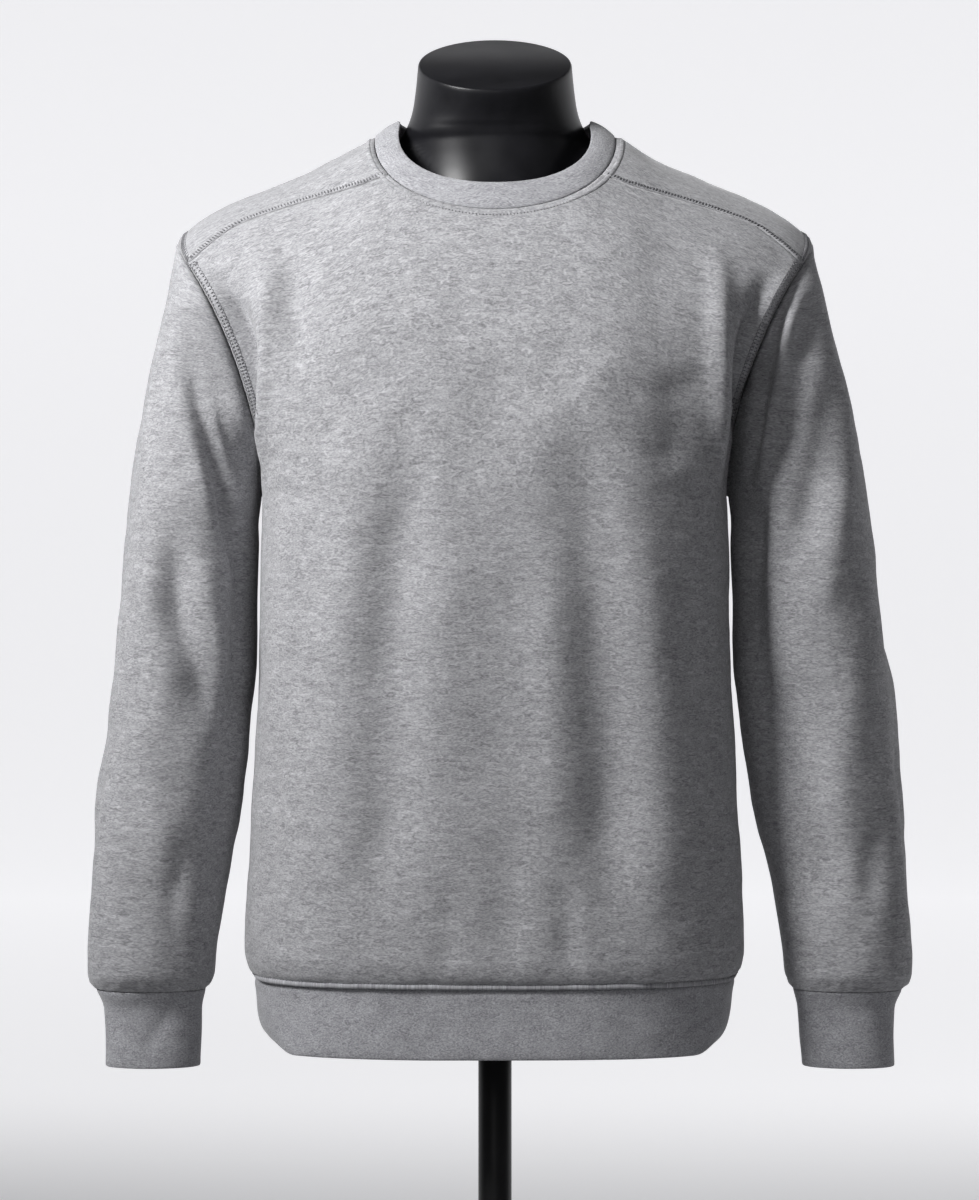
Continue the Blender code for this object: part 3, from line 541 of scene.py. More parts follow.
def cap_point(turn, share, swing):
    """A point on the sleeve between the armhole seam (share 0) and the first whole section (share 1)."""
    seam = armhole_point(turn)
    end = arm_point(SLEEVE, turn, SLEEVE_TOP, swing)
    reach = (end - seam).length
    up = (1 - math.cos(2 * math.pi * turn)) / 2
    ahead = math.sin(2 * math.pi * turn)
    leave = Vector((CAP_OUT + CAP_OUT_TOP * up, -CAP_AHEAD * ahead, -1.0)).normalized()
    first, second = seam + leave * reach * 0.4, end + Vector((-CAP_OUT_TOP * up, 0, 1)) * reach * 0.35
    rest = 1 - share
    return (
        seam * rest**3
        + first * 3 * rest * rest * share
        + second * 3 * rest * share * share
        + end * share**3
    )


BELOW_CAP = 0.70  # how much of a sleeve's climb lies below its cap
ARM_RADIUS = 0.062


def sleeve_place(left, turn, climb):
    """(point, height in the cut) on a sleeve. Climb is 0 at the cuff seam and 1 at the armhole."""
    if climb <= BELOW_CAP:
        height = mix(CUFF_SEAM, SLEEVE_TOP, (climb / BELOW_CAP) ** 1.6)
        return arm_point(SLEEVE, turn, height, swing_at(left, height)), height
    share = (1 - climb) / (1 - BELOW_CAP)
    point = cap_point(turn, share, swing_at(left, SLEEVE_TOP))
    over_the_top = max(0.0, 0.270 - point.x) * smoothstep((point.z - 0.50) / 0.10)
    return point, point.z + 0.8 * over_the_top


def cuff_place(left, turn, share):
    height = CUFF_SEAM * share
    return arm_point(CUFF, turn, height, swing_at(left, height)), height


def round_the_arm(turn, point):
    """How far round the sleeve a point is, in metres of cloth."""
    axis = mix(0.227, 0.185, smoothstep((point.z - SLEEVE_TOP) / 0.20))
    angle = math.atan2(-point.y, axis - point.x)
    whole = 2 * math.pi * turn
    return ARM_RADIUS * (whole + (angle - whole + math.pi) % (2 * math.pi) - math.pi)


def mirrored(point):
    return Vector((-point.x, point.y, point.z))


def on_arm(left, place):
    """place(left, turn, share), which is worked out at +X, as a place(turn, share) on either arm."""
    if left:
        return lambda turn, share: place(True, turn, share)

    def right(turn, share):
        point, height = place(False, 1 - turn, share)
        return mirrored(point), height

    return right


# ---------------------------------------------------------------- the neck seam and its band


def neck_seam():
    """Closely set points of the neck seam, anticlockwise from above, starting at the middle of the front."""
    front = [shoulder_point(FRONT, *front_top(NECK_SHARE * k / 40)) for k in range(41)]
    over = [yoke_place(1, 0.0, 1 - k / 16)[0] for k in range(1, 16)]
    back = [shoulder_point(BACK, *back_top(NECK_SHARE * (1 - k / 40))) for k in range(41)]
    right = front + over + back
    return right + [mirrored(p) for p in reversed(right[1:-1])]


def around(points):
    """A function that walks evenly once round a closed line of points as its share goes from 0 to 1."""
    ring = points + points[:1]
    way = walked(ring)

    def place(share):
        share %= 1.0
        k = min(len(ring) - 2, max(0, int(np.searchsorted(way, share, side="right")) - 1))
        return ring[k].lerp(ring[k + 1], (share - way[k]) / (way[k + 1] - way[k]))

    return place


NECK_SEAM = neck_seam()
NECK_LINE = around(NECK_SEAM)
NECK_MIDDLE_Y = (min(p.y for p in NECK_SEAM) + max(p.y for p in NECK_SEAM)) / 2
NECK_HALF_DEPTH = (max(p.y for p in NECK_SEAM) - min(p.y for p in NECK_SEAM)) / 2


def neckband_place(turn, share):
    """The band leans in and up from the neck seam, furthest in at the sides."""
    p = NECK_LINE(turn)
    inward = Vector((-p.x / NECK_HALF_WIDTH, -(p.y - NECK_MIDDLE_Y) / NECK_HALF_DEPTH, 0)).normalized()
    lift = mix(0.50, 0.93 if inward.y > 0 else 0.75, abs(inward.y) ** 1.5)
    way = Vector((inward.x, inward.y, 0)) * math.sqrt(1 - lift * lift) + Vector((0, 0, lift))
    bow = Vector((0, 0, 1)) * 0.0016 * math.sin(math.pi * share)
    return p + way * BAND_WIDTH * share + bow, BAND_WIDTH * share


# ---------------------------------------------------------------- cloth


def add_grid(mesh, columns, rows, place, flip=False, reach_of=None):
    """A grid of cloth in the mesh. place(u, t) gives a corner's point and its height in the cut.

    Its reach across the cut is measured along its row from the middle, or is reach_of(u, point).

    The UV map "cloth" holds the cut in metres, with the courses of the knit across and its wales up.
    """
    cut = mesh.loops.layers.uv["cloth"]
    corners = bmesh.ops.create_grid(mesh, x_segments=columns, y_segments=rows, size=0.5)["verts"]
    spots, points = {}, {}
    for vert in corners:
        i, j = round((vert.co.x + 0.5) * columns), round((vert.co.y + 0.5) * rows)
        point, height = place(i / columns, j / rows)
        vert.co = point
        points[i, j] = point
        spots[vert] = (i, j, height)
    if reach_of:
        across = {(i, j): reach_of(i / columns, point) for (i, j), point in points.items()}
    else:
        middle = columns // 2
        across = {(middle, j): 0.0 for j in range(rows + 1)}
        for j in range(rows + 1):
            for step, last in ((1, columns), (-1, 0)):
                for i in range(middle + step, last + step, step):
                    span = (points[i, j] - points[i - step, j]).length
                    across[i, j] = across[i - step, j] + step * span
    faces = {face for vert in corners for face in vert.link_faces}
    for face in faces:
        for loop in face.loops:
            i, j, height = spots[loop.vert]
            loop[cut].uv = (across[i, j], height)
    if flip:
        bmesh.ops.reverse_faces(mesh, faces=list(faces))


def new_cloth():
    mesh = bmesh.new()
    mesh.loops.layers.uv.new("cloth")
    return mesh


def arrays(mesh):
    mesh.normal_update()
    mesh.verts.ensure_lookup_table()
    points = np.array([v.co[:] for v in mesh.verts])
    normals = np.array([v.normal[:] for v in mesh.verts])
    return points, normals


def from_line(points, line):
    """How far each point is from the nearest point of a closely set line."""
    return np.sqrt(((points[:, None, :] - line[None, :, :]) ** 2).sum(axis=2).min(axis=1))


def from_edge(mesh, points):
    """How far each point of the cloth is from the nearest point of its cut edges."""
    edge = np.array([v.co[:] for v in mesh.verts if v.is_boundary])
    out = np.empty(len(points))
    at_once = 4000
    for start in range(0, len(points), at_once):
        out[start : start + at_once] = from_line(points[start : start + at_once], edge)
    return out


LOOK_ALONG = {
    "front": Vector((0, 1, 0)), "back": Vector((0, -1, 0)), "right": Vector((1, 0, 0)), "left": Vector((-1, 0, 0)),
}
LOOK_DISTANCE = 0.6
NEAR_THE_CLOTH = 0.54  # how far along the look the cloth is sought where the look passes it by


def on_cloth(tree, side, across, height):
    """The point of the cloth that lies straight back from a place on one side of the garment."""
    way = LOOK_ALONG[side]
    start = Vector((across, 0, height) if way.x == 0 else (0, across, height)) - way * LOOK_DISTANCE
    hit = tree.ray_cast(start, way)[0]
    return hit or tree.find_nearest(start + way * NEAR_THE_CLOTH)[0]


def crease_line(tree, side, places):
    """Closely set points on the cloth along a smooth line through a crease's places."""
    steps = list(range(len(places)))
    across = smooth_curve(steps, [p[0] for p in places])
    height = smooth_curve(steps, [p[1] for p in places])
    count = 10 * (len(places) - 1)
    line = [on_cloth(tree, side, across(k / 10), height(k / 10)) for k in range(count + 1)]
    return np.array([p[:] for p in line])


CREASE_END = 0.28  # of its length, over which a crease dies out


def crease_lift(points, line, crease):
    """How far one crease lifts each point of the cloth."""
    best = np.full(len(points), 1e9)
    place = np.zeros(len(points))
    lengths = np.linalg.norm(line[1:] - line[:-1], axis=1)
    along = np.concatenate([[0.0], np.cumsum(lengths)])
    reach = 4 * crease.half_width
    chosen = np.nonzero(np.linalg.norm(points - line.mean(axis=0), axis=1) < along[-1] / 2 + reach + 0.02)[0]
    p = points[chosen]
    for k, length in enumerate(lengths):
        if length < 1e-6:
            continue
        way = (line[k + 1] - line[k]) / length
        share = np.clip((p - line[k]) @ way, 0, length)
        distance = np.linalg.norm(p - (line[k] + share[:, None] * way), axis=1)
        closer = distance < best[chosen]
        index = chosen[closer]
        best[index] = distance[closer]
        place[index] = (along[k] + share[closer]) / along[-1]
    wander = 1 + 0.18 * np.sin(place * 9.0 + crease.half_width * 900)
    ends = smoothsteps(place / CREASE_END) * smoothsteps((1 - place) / CREASE_END)
    lift = crease.depth * wander * (0.12 + 0.88 * ends) * np.exp(-((best / crease.half_width) ** 2))
    return np.where(best < reach, lift, 0.0)


def unevenness(points, size, depth):
    """Soft random swells of one size."""
    return np.array([depth * noise.noise(Vector(p) / size) for p in points])


def window(height, low, high, soft):
    return smoothsteps((height - low) / soft) * smoothsteps((high - height) / soft)


SeamShift = namedtuple("SeamShift", "side arm back low high soft reach")
SEAM_SHIFTS = rows_of(
    SeamShift,
    (FRONT, -1, -0.022, 0.440, 0.606, 0.045, 0.028),
    (FRONT, 1, -0.016, 0.505, 0.608, 0.040, 0.028),
    (FRONT, 1, 0.006, 0.428, 0.530, 0.030, 0.012),
    (BACK, 0, -0.005, 0.428, 0.610, 0.040, 0.012),
)


def ease_armholes(points):
    """How far back the cloth moves around the armhole seams. The shoulders carry them forward, below 0.

    A shift is on the front or the back seam, of the arm at -X (-1), at +X (1) or both (0), from low to high.
    """
    folded = np.stack([np.abs(points[:, 0]), points[:, 1], points[:, 2]], axis=1)
    away = {}
    for side, first, last in ((FRONT, 0.02, 0.34), (BACK, 0.66, 0.98)):
        away[side] = from_line(folded, np.array([armhole_point(mix(first, last, k / 40))[:] for k in range(41)]))
    out = np.zeros(len(points))
    for shift in SEAM_SHIFTS:
        there = points[:, 0] * shift.arm >= 0
        share = window(points[:, 2], shift.low, shift.high, shift.soft) * there
        out += shift.back * share * np.exp(-((away[shift.side] / shift.reach) ** 2))
    return out


SWELLS = [(0.045, 0.0016), (0.017, 0.0005)]  # size and depth
Gathers = namedtuple("Gathers", "seam direction reach depth pitch")  # direction is 1 above the seam, -1 below
Sunk = namedtuple("Sunk", "seam direction depth reach")


def shape_cloth(mesh, creases, keep=None, hold=0.009, swell=1.0, gathers=None, sunk=None):
    """Moves the cloth's points out and in along its creases, and holds its cut edges where they are."""
    points, normals = arrays(mesh)
    tree = BVHTree.FromBMesh(mesh)
    free = smoothsteps(from_edge(mesh, points) / hold)
    lift = sum(unevenness(points, size, depth * swell) for size, depth in SWELLS)
    for side, found in creases.items():
        for crease in found:
            lift += crease_lift(points, crease_line(tree, side, crease.places), crease)
    lift *= free
    if gathers:
        above = (points[:, 2] - gathers.seam) * gathers.direction
        stretch = gathers.pitch * np.array([1, 1, 6])
        ripple = np.array([noise.noise(Vector(p / stretch)) for p in points])
        fade = np.exp(-np.clip(above, 0, None) / gathers.reach) * smoothsteps(above / 0.004)
        lift += np.where(above > 0, gathers.depth * ripple * fade, 0.0)
    if sunk:
        above = np.clip((points[:, 2] - sunk.seam) * sunk.direction, 0, None)
        lift -= sunk.depth * np.exp(-((above / sunk.reach) ** 2))
    moved = points + normals * lift[:, None]
    moved[:, 1] += ease_armholes(points)
    for vert, place in zip(mesh.verts, moved):
        vert.co = Vector(place)
        if keep and not vert.is_boundary:
            keep(vert.co)


def tuck_edges(mesh, inward=0.00035, dip=0.0009, ease=lambda point: 1.0):
    """Draws the cut edges back and down a little, as a seam allowance pulls them.

    ease(point) is the share of that at one place of the edge.
    """
    mesh.normal_update()
    moves = {}
    for vert in mesh.verts:
        if vert.is_boundary:
            share = ease(vert.co)
            down = vert.normal * dip * share
            inside = [e.other_vert(vert).co for e in vert.link_edges if not e.other_vert(vert).is_boundary]
            if inside:
                middle = sum(inside, Vector()) / len(inside)
                moves[vert] = (middle - vert.co).normalized() * inward * share - down
            else:
                moves[vert] = -down
    for vert, move in moves.items():
        vert.co += move


LOW_EDGES = ARMPIT - 0.30  # the side seams dip fully below this


def body_ease(point):
    """The seams dip least at the middle of the neck, and less at the armholes than on the shoulders."""
    if point.z < LOW_EDGES:
        return 1.0
    if abs(point.x) > BODY_EDGE(round(point.z, 4)) - 0.004:
        return 0.3
    if abs(point.x) < YOKE_NECK_X and point.y < 0:
        return mix(0.15, 0.7, smoothstep((abs(point.x) - 0.03) / 0.04))
    return 0.65


def keep_body(point):
    most = BODY_EDGE(round(point.z, 4)) - 0.0006
    point.x = math.copysign(min(abs(point.x), most), point.x)


def keep_sleeve(point):
    least = BODY_EDGE(round(point.z, 4)) + SLEEVE_CLEARANCE
    x = abs(point.x)
    point.x = math.copysign((x + least + math.hypot(x - least, 0.002)) / 2, point.x)


ROUNDED_ABOVE = math.radians(62)


def finish(name, mesh, material, node=None, thickness=None, bevel=0.0, lift=CUFF_LEVEL):
    """The mesh as an object that rides on the part, and stands for a node of the model if one is named."""
    bmesh.ops.translate(mesh, verts=mesh.verts, vec=(0, 0, lift))
    data = bpy.data.meshes.new(name)
    mesh.to_mesh(data)
    mesh.free()
    data.shade_smooth()
    data.materials.append(material)
    piece = bpy.data.objects.new(name, data)
    bpy.context.scene.collection.objects.link(piece)
    if thickness:
        wall = piece.modifiers.new("cloth thickness", "SOLIDIFY")
        wall.thickness = thickness
        wall.offset = -1
        wall.use_even_offset = False
    if bevel:
        rounding = piece.modifiers.new("rounded edges", "BEVEL")
        rounding.limit_method = "ANGLE"
        rounding.angle_limit = ROUNDED_ABOVE
        rounding.width = bevel
        rounding.segments = 2
    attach(piece, "root")
    if node:
        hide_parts(node)
    return piece


# ---------------------------------------------------------------- materials


def nodes_of(name, roughness):
    material = bpy.data.materials.new(name)
    material.use_nodes = True
    tree = material.node_tree
    shader = tree.nodes["Principled BSDF"]
    shader.inputs["Roughness"].default_value = roughness
    return material, tree, shader


def stretched_noise(tree, source, scale, detail, waver=0.0, dimensions="3D"):
    """Noise on the source's coordinates, stretched by a scale for each of them."""
    mapping = tree.nodes.new("ShaderNodeMapping")
    mapping.inputs["Scale"].default_value = scale
    tree.links.new(source, mapping.inputs["Vector"])
    grain = tree.nodes.new("ShaderNodeTexNoise")
    grain.noise_dimensions = dimensions
    grain.inputs["Scale"].default_value = 1.0
    grain.inputs["Detail"].default_value = detail
    grain.inputs["Roughness"].default_value = 0.55
    grain.inputs["Distortion"].default_value = waver
    tree.links.new(mapping.outputs["Vector"], grain.inputs["Vector"])
    return grain.outputs["Fac"]


def arithmetic(tree, operation, value, other):
    """One sum of a value and another value or a plain number."""
    step = tree.nodes.new("ShaderNodeMath")
    step.operation = operation
    tree.links.new(value, step.inputs[0])
    if isinstance(other, float):
        step.inputs[1].default_value = other
    else:
        tree.links.new(other, step.inputs[1])
    return step.outputs[0]


def weighed(tree, parts):
    """The weighted sum of several values."""
    total, *rest = [arithmetic(tree, "MULTIPLY", value, weight) for value, weight in parts]
    for value in rest:
        total = arithmetic(tree, "ADD", total, value)
    return total


def add_bump(tree, shader, height, strength, distance):
    bump = tree.nodes.new("ShaderNodeBump")
    bump.inputs["Strength"].default_value = strength
    bump.inputs["Distance"].default_value = distance
    tree.links.new(height, bump.inputs["Height"])
    tree.links.new(bump.outputs["Normal"], shader.inputs["Normal"])


def ramp(tree, value, stops):
    colours = tree.nodes.new("ShaderNodeValToRGB")
    elements = colours.color_ramp.elements
    while len(elements) < len(stops):
        elements.new(0.5)
    for element, (position, colour) in zip(elements, stops):
        element.position = position
        element.color = (*colour, 1.0)
    tree.links.new(value, colours.inputs["Fac"])
    return colours.outputs["Color"]


FELT = (330, 460, 1)  # lumps of the nap in a metre across and up


def marl(name, grain, waver, greys):
    """Grey marl knit with a soft nap. Grain holds how many fibres lie in a metre across and up.

    Waver is how much the fibres wander, and greys are the dark, the middle and the pale one.
    """
    material, tree, shader = nodes_of(name, 0.94)
    shader.inputs["Sheen Weight"].default_value = 0.25
    shader.inputs["Sheen Roughness"].default_value = 0.45
    shader.inputs["Specular IOR Level"].default_value = 0.2
    cut = tree.nodes.new("ShaderNodeUVMap")
    cut.uv_map = "cloth"
    across, up = grain

    def fibres(scale, waver=0.0):
        return stretched_noise(tree, cut.outputs["UV"], scale, 2.0, waver, "2D")

    streaks = fibres((across, up, 1), waver)
    flecks = fibres((across * 3.2, up * 2.4, 1))
    clouds = fibres((across / 3.6, up / 4.4, 1))
    blend = weighed(tree, [(streaks, 0.50), (flecks, 0.37), (clouds, 0.13)])
    stops = list(zip((0.30, 0.50, 0.70), greys))
    tree.links.new(ramp(tree, blend, stops), shader.inputs["Base Color"])
    add_bump(tree, shader, fibres(FELT), 0.30, 0.0006)
    return material


def thread(name, colour):
    material, tree, shader = nodes_of(name, 0.8)
    place = tree.nodes.new("ShaderNodeTexCoord").outputs["Object"]
    grain = stretched_noise(tree, place, (900, 900, 900), 1.0)
    dark = tuple(c * 0.78 for c in colour)
    pale = tuple(min(1.0, c * 1.2) for c in colour)
    tree.links.new(ramp(tree, grain, [(0.3, dark), (0.7, pale)]), shader.inputs["Base Color"])
    shader.inputs["Sheen Weight"].default_value = 0.15
    return material


def lacquer(name, colour, roughness):
    """Black gloss with the faint dust and ripple of a used display piece."""
    material, tree, shader = nodes_of(name, roughness)
    shader.inputs["Specular IOR Level"].default_value = 0.22
    place = tree.nodes.new("ShaderNodeTexCoord").outputs["Object"]
    dust = stretched_noise(tree, place, (26, 26, 26), 4.0)
    pale = tuple(c * 1.8 + 0.003 for c in colour)
    tree.links.new(ramp(tree, dust, [(0.35, colour), (0.75, pale)]), shader.inputs["Base Color"])
    gloss = tree.nodes.new("ShaderNodeMapRange")
    gloss.inputs["To Min"].default_value = roughness * 0.85
    gloss.inputs["To Max"].default_value = roughness * 1.25
    tree.links.new(dust, gloss.inputs["Value"])
    tree.links.new(gloss.outputs["Result"], shader.inputs["Roughness"])
    add_bump(tree, shader, stretched_noise(tree, place, (9, 9, 9), 1.0), 0.12, 0.002)
    return material


FLEECE_GREYS = [(0.19, 0.19, 0.20), (0.36, 0.36, 0.375), (0.56, 0.56, 0.58)]
RIB_GREYS = [(0.19, 0.19, 0.205), (0.355, 0.355, 0.375), (0.55, 0.555, 0.58)]
FLEECE_CLOTH = marl("grey marl fleece", (150, 450), 1.1, FLEECE_GREYS)
RIB_CLOTH = marl("grey marl rib", (200, 380), 2.2, RIB_GREYS)
# the thread is darker than the cloth: painted shade, for the dark gaps between the raised stitches
THREAD_IN_PAINTED_SHADE = thread("thread darkened as painted shade", (0.17, 0.17, 0.18))
FORM_BLACK = lacquer("black lacquer", (0.007, 0.007, 0.0085), 0.34)
METAL_BLACK = lacquer("black metal", (0.006, 0.006, 0.0065), 0.36)

# ---------------------------------------------------------------- the cloth pieces

BODY_COLUMNS, BODY_ROWS = 154, 180
SHOULDER_COLUMNS, YOKE_ROWS = 42, 24
ARM_COLUMNS, SLEEVE_ROWS, CUFF_ROWS = 120, 150, 20
HEM_COLUMNS, HEM_ROWS = 308, 20
NECK_COLUMNS, NECK_ROWS = 200, 12


def sew_up(mesh):
    """Joins the edges of the cloth's grids where they meet."""
    bmesh.ops.remove_doubles(mesh, verts=mesh.verts, dist=1e-5)


def shape_body(mesh, creases):
    gathers = Gathers(HEM_SEAM, 1, 0.012, 0.0012, 0.009)
    shape_cloth(mesh, creases, keep_body, gathers=gathers, sunk=Sunk(HEM_SEAM, 1, 0.0012, 0.006))
    tuck_edges(mesh, ease=body_ease)
    return mesh


def front_panel():
    mesh = new_cloth()
    add_grid(mesh, BODY_COLUMNS, BODY_ROWS, lambda u, t: body_place(FRONT, 2 * u - 1, t))
    return shape_body(mesh, {"front": FRONT_CREASES})


def back_panel():
    mesh = new_cloth()
    add_grid(mesh, BODY_COLUMNS, BODY_ROWS, lambda u, t: body_place(BACK, 1 - 2 * u, t))
    add_grid(mesh, SHOULDER_COLUMNS, YOKE_ROWS, lambda u, t: yoke_place(1, u, t), flip=True)
    add_grid(mesh, SHOULDER_COLUMNS, YOKE_ROWS, lambda u, t: yoke_place(-1, u, t))
    sew_up(mesh)
    return shape_body(mesh, {"back": BACK_CREASES})


def sleeve(left):
    mesh = new_cloth()

    def reach_of(u, point):
        return round_the_arm(u, point) if left else round_the_arm(1 - u, mirrored(point))

    add_grid(mesh, ARM_COLUMNS, SLEEVE_ROWS, on_arm(left, sleeve_place), reach_of=reach_of)
    sew_up(mesh)
    creases = LEFT_SLEEVE_CREASES if left else RIGHT_SLEEVE_CREASES
    shape_cloth(mesh, creases, keep_sleeve, hold=0.010, gathers=Gathers(CUFF_SEAM, 1, 0.010, 0.0026, 0.008))
    tuck_edges(mesh, dip=0.0006, ease=lambda point: 0.35 if point.z > SLEEVE_TOP else 1.0)
    return mesh


def cuff(left):
    mesh = new_cloth()
    add_grid(mesh, ARM_COLUMNS, CUFF_ROWS, on_arm(left, cuff_place))
    sew_up(mesh)
    sign = 1 if left else -1
    creases = {
        side: [c._replace(places=[(sign * x, h) for x, h in c.places]) for c in found]
        for side, found in CUFF_CREASES.items()
    }
    shape_cloth(mesh, creases, hold=0.004, swell=0.6)
    tuck_edges(mesh, dip=0.0003)
    return mesh


HEM_CORNER = 0.008  # how far the hem's lower corners are rounded in and up


def hem_band():
    mesh = new_cloth()

    def place(u, t):
        height = mix(HEM_SECTIONS[-1].height, HEM_SEAM, t)
        side, across = (FRONT, 4 * u - 1) if u < 0.5 else (BACK, 3 - 4 * u)
        point = section_point(HEM, side, across, height)
        corner = HEM_CORNER * smoothstep((abs(point.x) - 0.145) / 0.033) * (1 - t) ** 4
        return point + Vector((-math.copysign(corner, point.x), 0, corner)), height

    add_grid(mesh, HEM_COLUMNS, HEM_ROWS, place)
    sew_up(mesh)
    shape_cloth(mesh, {}, hold=0.006, swell=0.9, sunk=Sunk(HEM_SEAM, -1, 0.0016, 0.0035))
    tuck_edges(mesh, dip=0.0004)
    return mesh


def neckband():
    mesh = new_cloth()
    add_grid(mesh, NECK_COLUMNS, NECK_ROWS, neckband_place)
    sew_up(mesh)
    shape_cloth(mesh, {}, hold=0.006, swell=0.25)
    tuck_edges(mesh, dip=0.0003, inward=0.0001)
    return mesh


# ---------------------------------------------------------------- seams


class Surface:
    """The outside of some pieces of cloth, to lay threads on."""

    def __init__(self, *meshes):
        self.trees = [BVHTree.FromBMesh(mesh) for mesh in meshes]

    def nearest(self, point):
        found = [tree.find_nearest(point) for tree in self.trees]
        best = min(found, key=lambda hit: hit[3])
        return best[0], best[1]


def ridge_line(name, path, surface, width, height, material, shade, closed=False, out=0.0):
    """A raised seam: an oval tube, half sunk in the cloth, along the path's points.

    shade(share) is how much of its thickness it has there, and out is how far it stands off the cloth.
    """
    mesh = new_cloth()
    spots = [surface.nearest(p) for p in path]
    count = len(spots)
    steps = count if closed else count - 1
    lengths = [0.0]
    for a, b in zip(spots, spots[1:]):
        lengths.append(lengths[-1] + (b[0] - a[0]).length)

    def spot(k):
        return spots[k % count] if closed else spots[min(count - 1, max(0, k))]

    def place(u, t):
        k = round(u * steps)
        point, normal = spot(k)
        way = (spot(k + 1)[0] - spot(k - 1)[0]).normalized()
        side = way.cross(normal).normalized()
        angle = 2 * math.pi * t
        thick = shade(k / steps) if closed or 0 < k < steps else 0.0
        offset = side * math.cos(angle) * width / 2 * thick + normal * (math.sin(angle) * height + out) * thick
        return point + offset, lengths[k % count] * 0.3

    add_grid(mesh, steps, 8, place)
    bmesh.ops.remove_doubles(mesh, verts=mesh.verts, dist=1e-6)
    bmesh.ops.recalc_face_normals(mesh, faces=mesh.faces)
    return finish(name, mesh, material)


def stitches(name, marks, material):
    """Short threads. Each mark is (middle, way, normal, length, width, height)."""
    mesh = bmesh.new()
    for middle, way, normal, length, width, height in marks:
        side = normal.cross(way).normalized()
        turn = Matrix((way * length / 2, side * width / 2, normal * height)).transposed().to_4x4()
        turn.translation = middle
        bmesh.ops.create_uvsphere(mesh, u_segments=6, v_segments=4, radius=1.0, matrix=turn)
    bmesh.ops.recalc_face_normals(mesh, faces=mesh.faces)
    return finish(name, mesh, material)


def evenly(path, pitch):
    """Places at an even pitch along a line of points, each with the line's way there."""
    out, left = [], pitch / 2
    for a, b in zip(path, path[1:]):
        length = (b - a).length
        way = (b - a).normalized()
        while left < length:
            out.append((a + way * left, way))
            left += pitch
        left -= length
    return out


def across_seam(way, normal, towards):
    """The way across a seam, on the cloth, to the side that towards points to."""
    across = normal.cross(way).normalized()
    return across if across.dot(towards) > 0 else -across


def rungs(path, surface, inward, offset, length, pitch=0.0025, width=0.0012, height=0.0008):
    """Marks across a seam band. inward(point, way, normal) is the way from the seam into the band."""
    marks = []
    for k, (point, way) in enumerate(evenly(path, pitch)):
        place, normal = surface.nearest(point)
        side = inward(place, way, normal)
        middle, normal = surface.nearest(place + side * (offset + length / 2))
        slant = 0.25 + 0.10 * math.sin(k * 2.4)
        tilt = (side + way * slant).normalized()
        across = (tilt - normal * tilt.dot(normal)).normalized()
        marks.append((middle, across, normal, length, width, height))
    return marks


def dashes(path, surface, inward, offset, pitch=0.0026):
    """Marks along a seam, one behind another, at an offset into its band."""
    marks = []
    for point, way in evenly(path, pitch):
        place, normal = surface.nearest(point)
        middle, normal = surface.nearest(place + inward(place, way, normal) * offset)
        along = (way - normal * way.dot(normal)).normalized()
        marks.append((middle, along, normal, pitch * 0.8, 0.0007, 0.0005))
    return marks


LADDER_FOOT, LADDER_PITCH, LADDER_ROWS = 0.480, 0.0024, 50
LADDER_LINES = (0.0016, 0.0041, 0.0066)  # from the armhole seam
RUNG_THICKNESS, LINE_THICKNESS = (0.0011, 0.0007), (0.0008, 0.0005)


def front_ladder(body, sign):
    """The band beside the front of an armhole: threads across it, and one line of threads on either side."""
    rows = []
    for k in range(LADDER_ROWS):
        height = LADDER_FOOT + LADDER_PITCH * k
        edge = BODY_EDGE(round(height, 4))
        lean = (BODY_EDGE(round(height + 0.01, 4)) - edge) / 0.01
        way = Vector((-1, 0, lean)).normalized()
        row = [
            on_cloth(body.trees[0], "front", sign * (edge + way.x * away), height + way.z * away)
            for away in LADDER_LINES
        ]
        rows.append(row)
    marks = []

    def thread_between(a, b, thickness):
        if 0.0005 < (b - a).length < 0.009:
            place, normal = body.nearest((a + b) / 2)
            marks.append((place, (b - a).normalized(), normal, (b - a).length * 0.95, *thickness))

    for near, middle, far in rows:
        thread_between(near, middle, RUNG_THICKNESS)
        thread_between(middle, far, RUNG_THICKNESS)
    for before, after in zip(rows, rows[1:]):
        thread_between(before[0], after[0], LINE_THICKNESS)
        thread_between(before[2], after[2], LINE_THICKNESS)
    return marks


def to_the_yoke(place, way, normal):
    return across_seam(way, normal, Vector((0, 0.5, 1)))


def off_the_neck(place, way, normal):
    return across_seam(way, normal, place - Vector((0, NECK_MIDDLE_Y, place.z + 0.05)))


def shoulder_marks(body, sign):
    seam = []
    for k in range(61):
        x, rise = yoke_seam(mix(0.02, 0.985, k / 60))
        seam.append(shoulder_point(FRONT, sign * across_of(FRONT, x, rise), rise))
    return rungs(seam, body, to_the_yoke, 0.0010, 0.0040, 0.0024)


def armhole_marks(body, sign):
    ring = [armhole_point(mix(0.36, 0.98, k / 110)) for k in range(111)]
    ring = ring if sign == 1 else [mirrored(p) for p in ring]

    def to_the_body(place, way, normal):
        return across_seam(way, normal, Vector((sign * 0.12, 0, place.z)) - place)

    marks = rungs(ring, body, to_the_body, 0.0014, 0.0046) + dashes(ring, body, to_the_body, 0.0064)
    return marks + front_ladder(body, sign)


def hem_marks(body, line):
    marks = []
    for point, way in evenly(line, 0.0030):
        place, normal = body.nearest(point + Vector((0, 0, 0.0042)))
        marks.append((place, (Vector((0, 0, 1)) + way * 0.3).normalized(), normal, 0.0026, 0.0006, 0.0003))
    return marks


def fading(share):
    """The hem's cord thins out at both of its ends."""
    return 0.25 + 0.75 * smoothstep(share / 0.12) * smoothstep((1 - share) / 0.12)


def at_the_sides(share):
    """The neck's ridge flattens out towards the middle of the front, where share is 0."""
    return 0.15 + 0.85 * smoothstep(min(share, 1 - share) / 0.16)


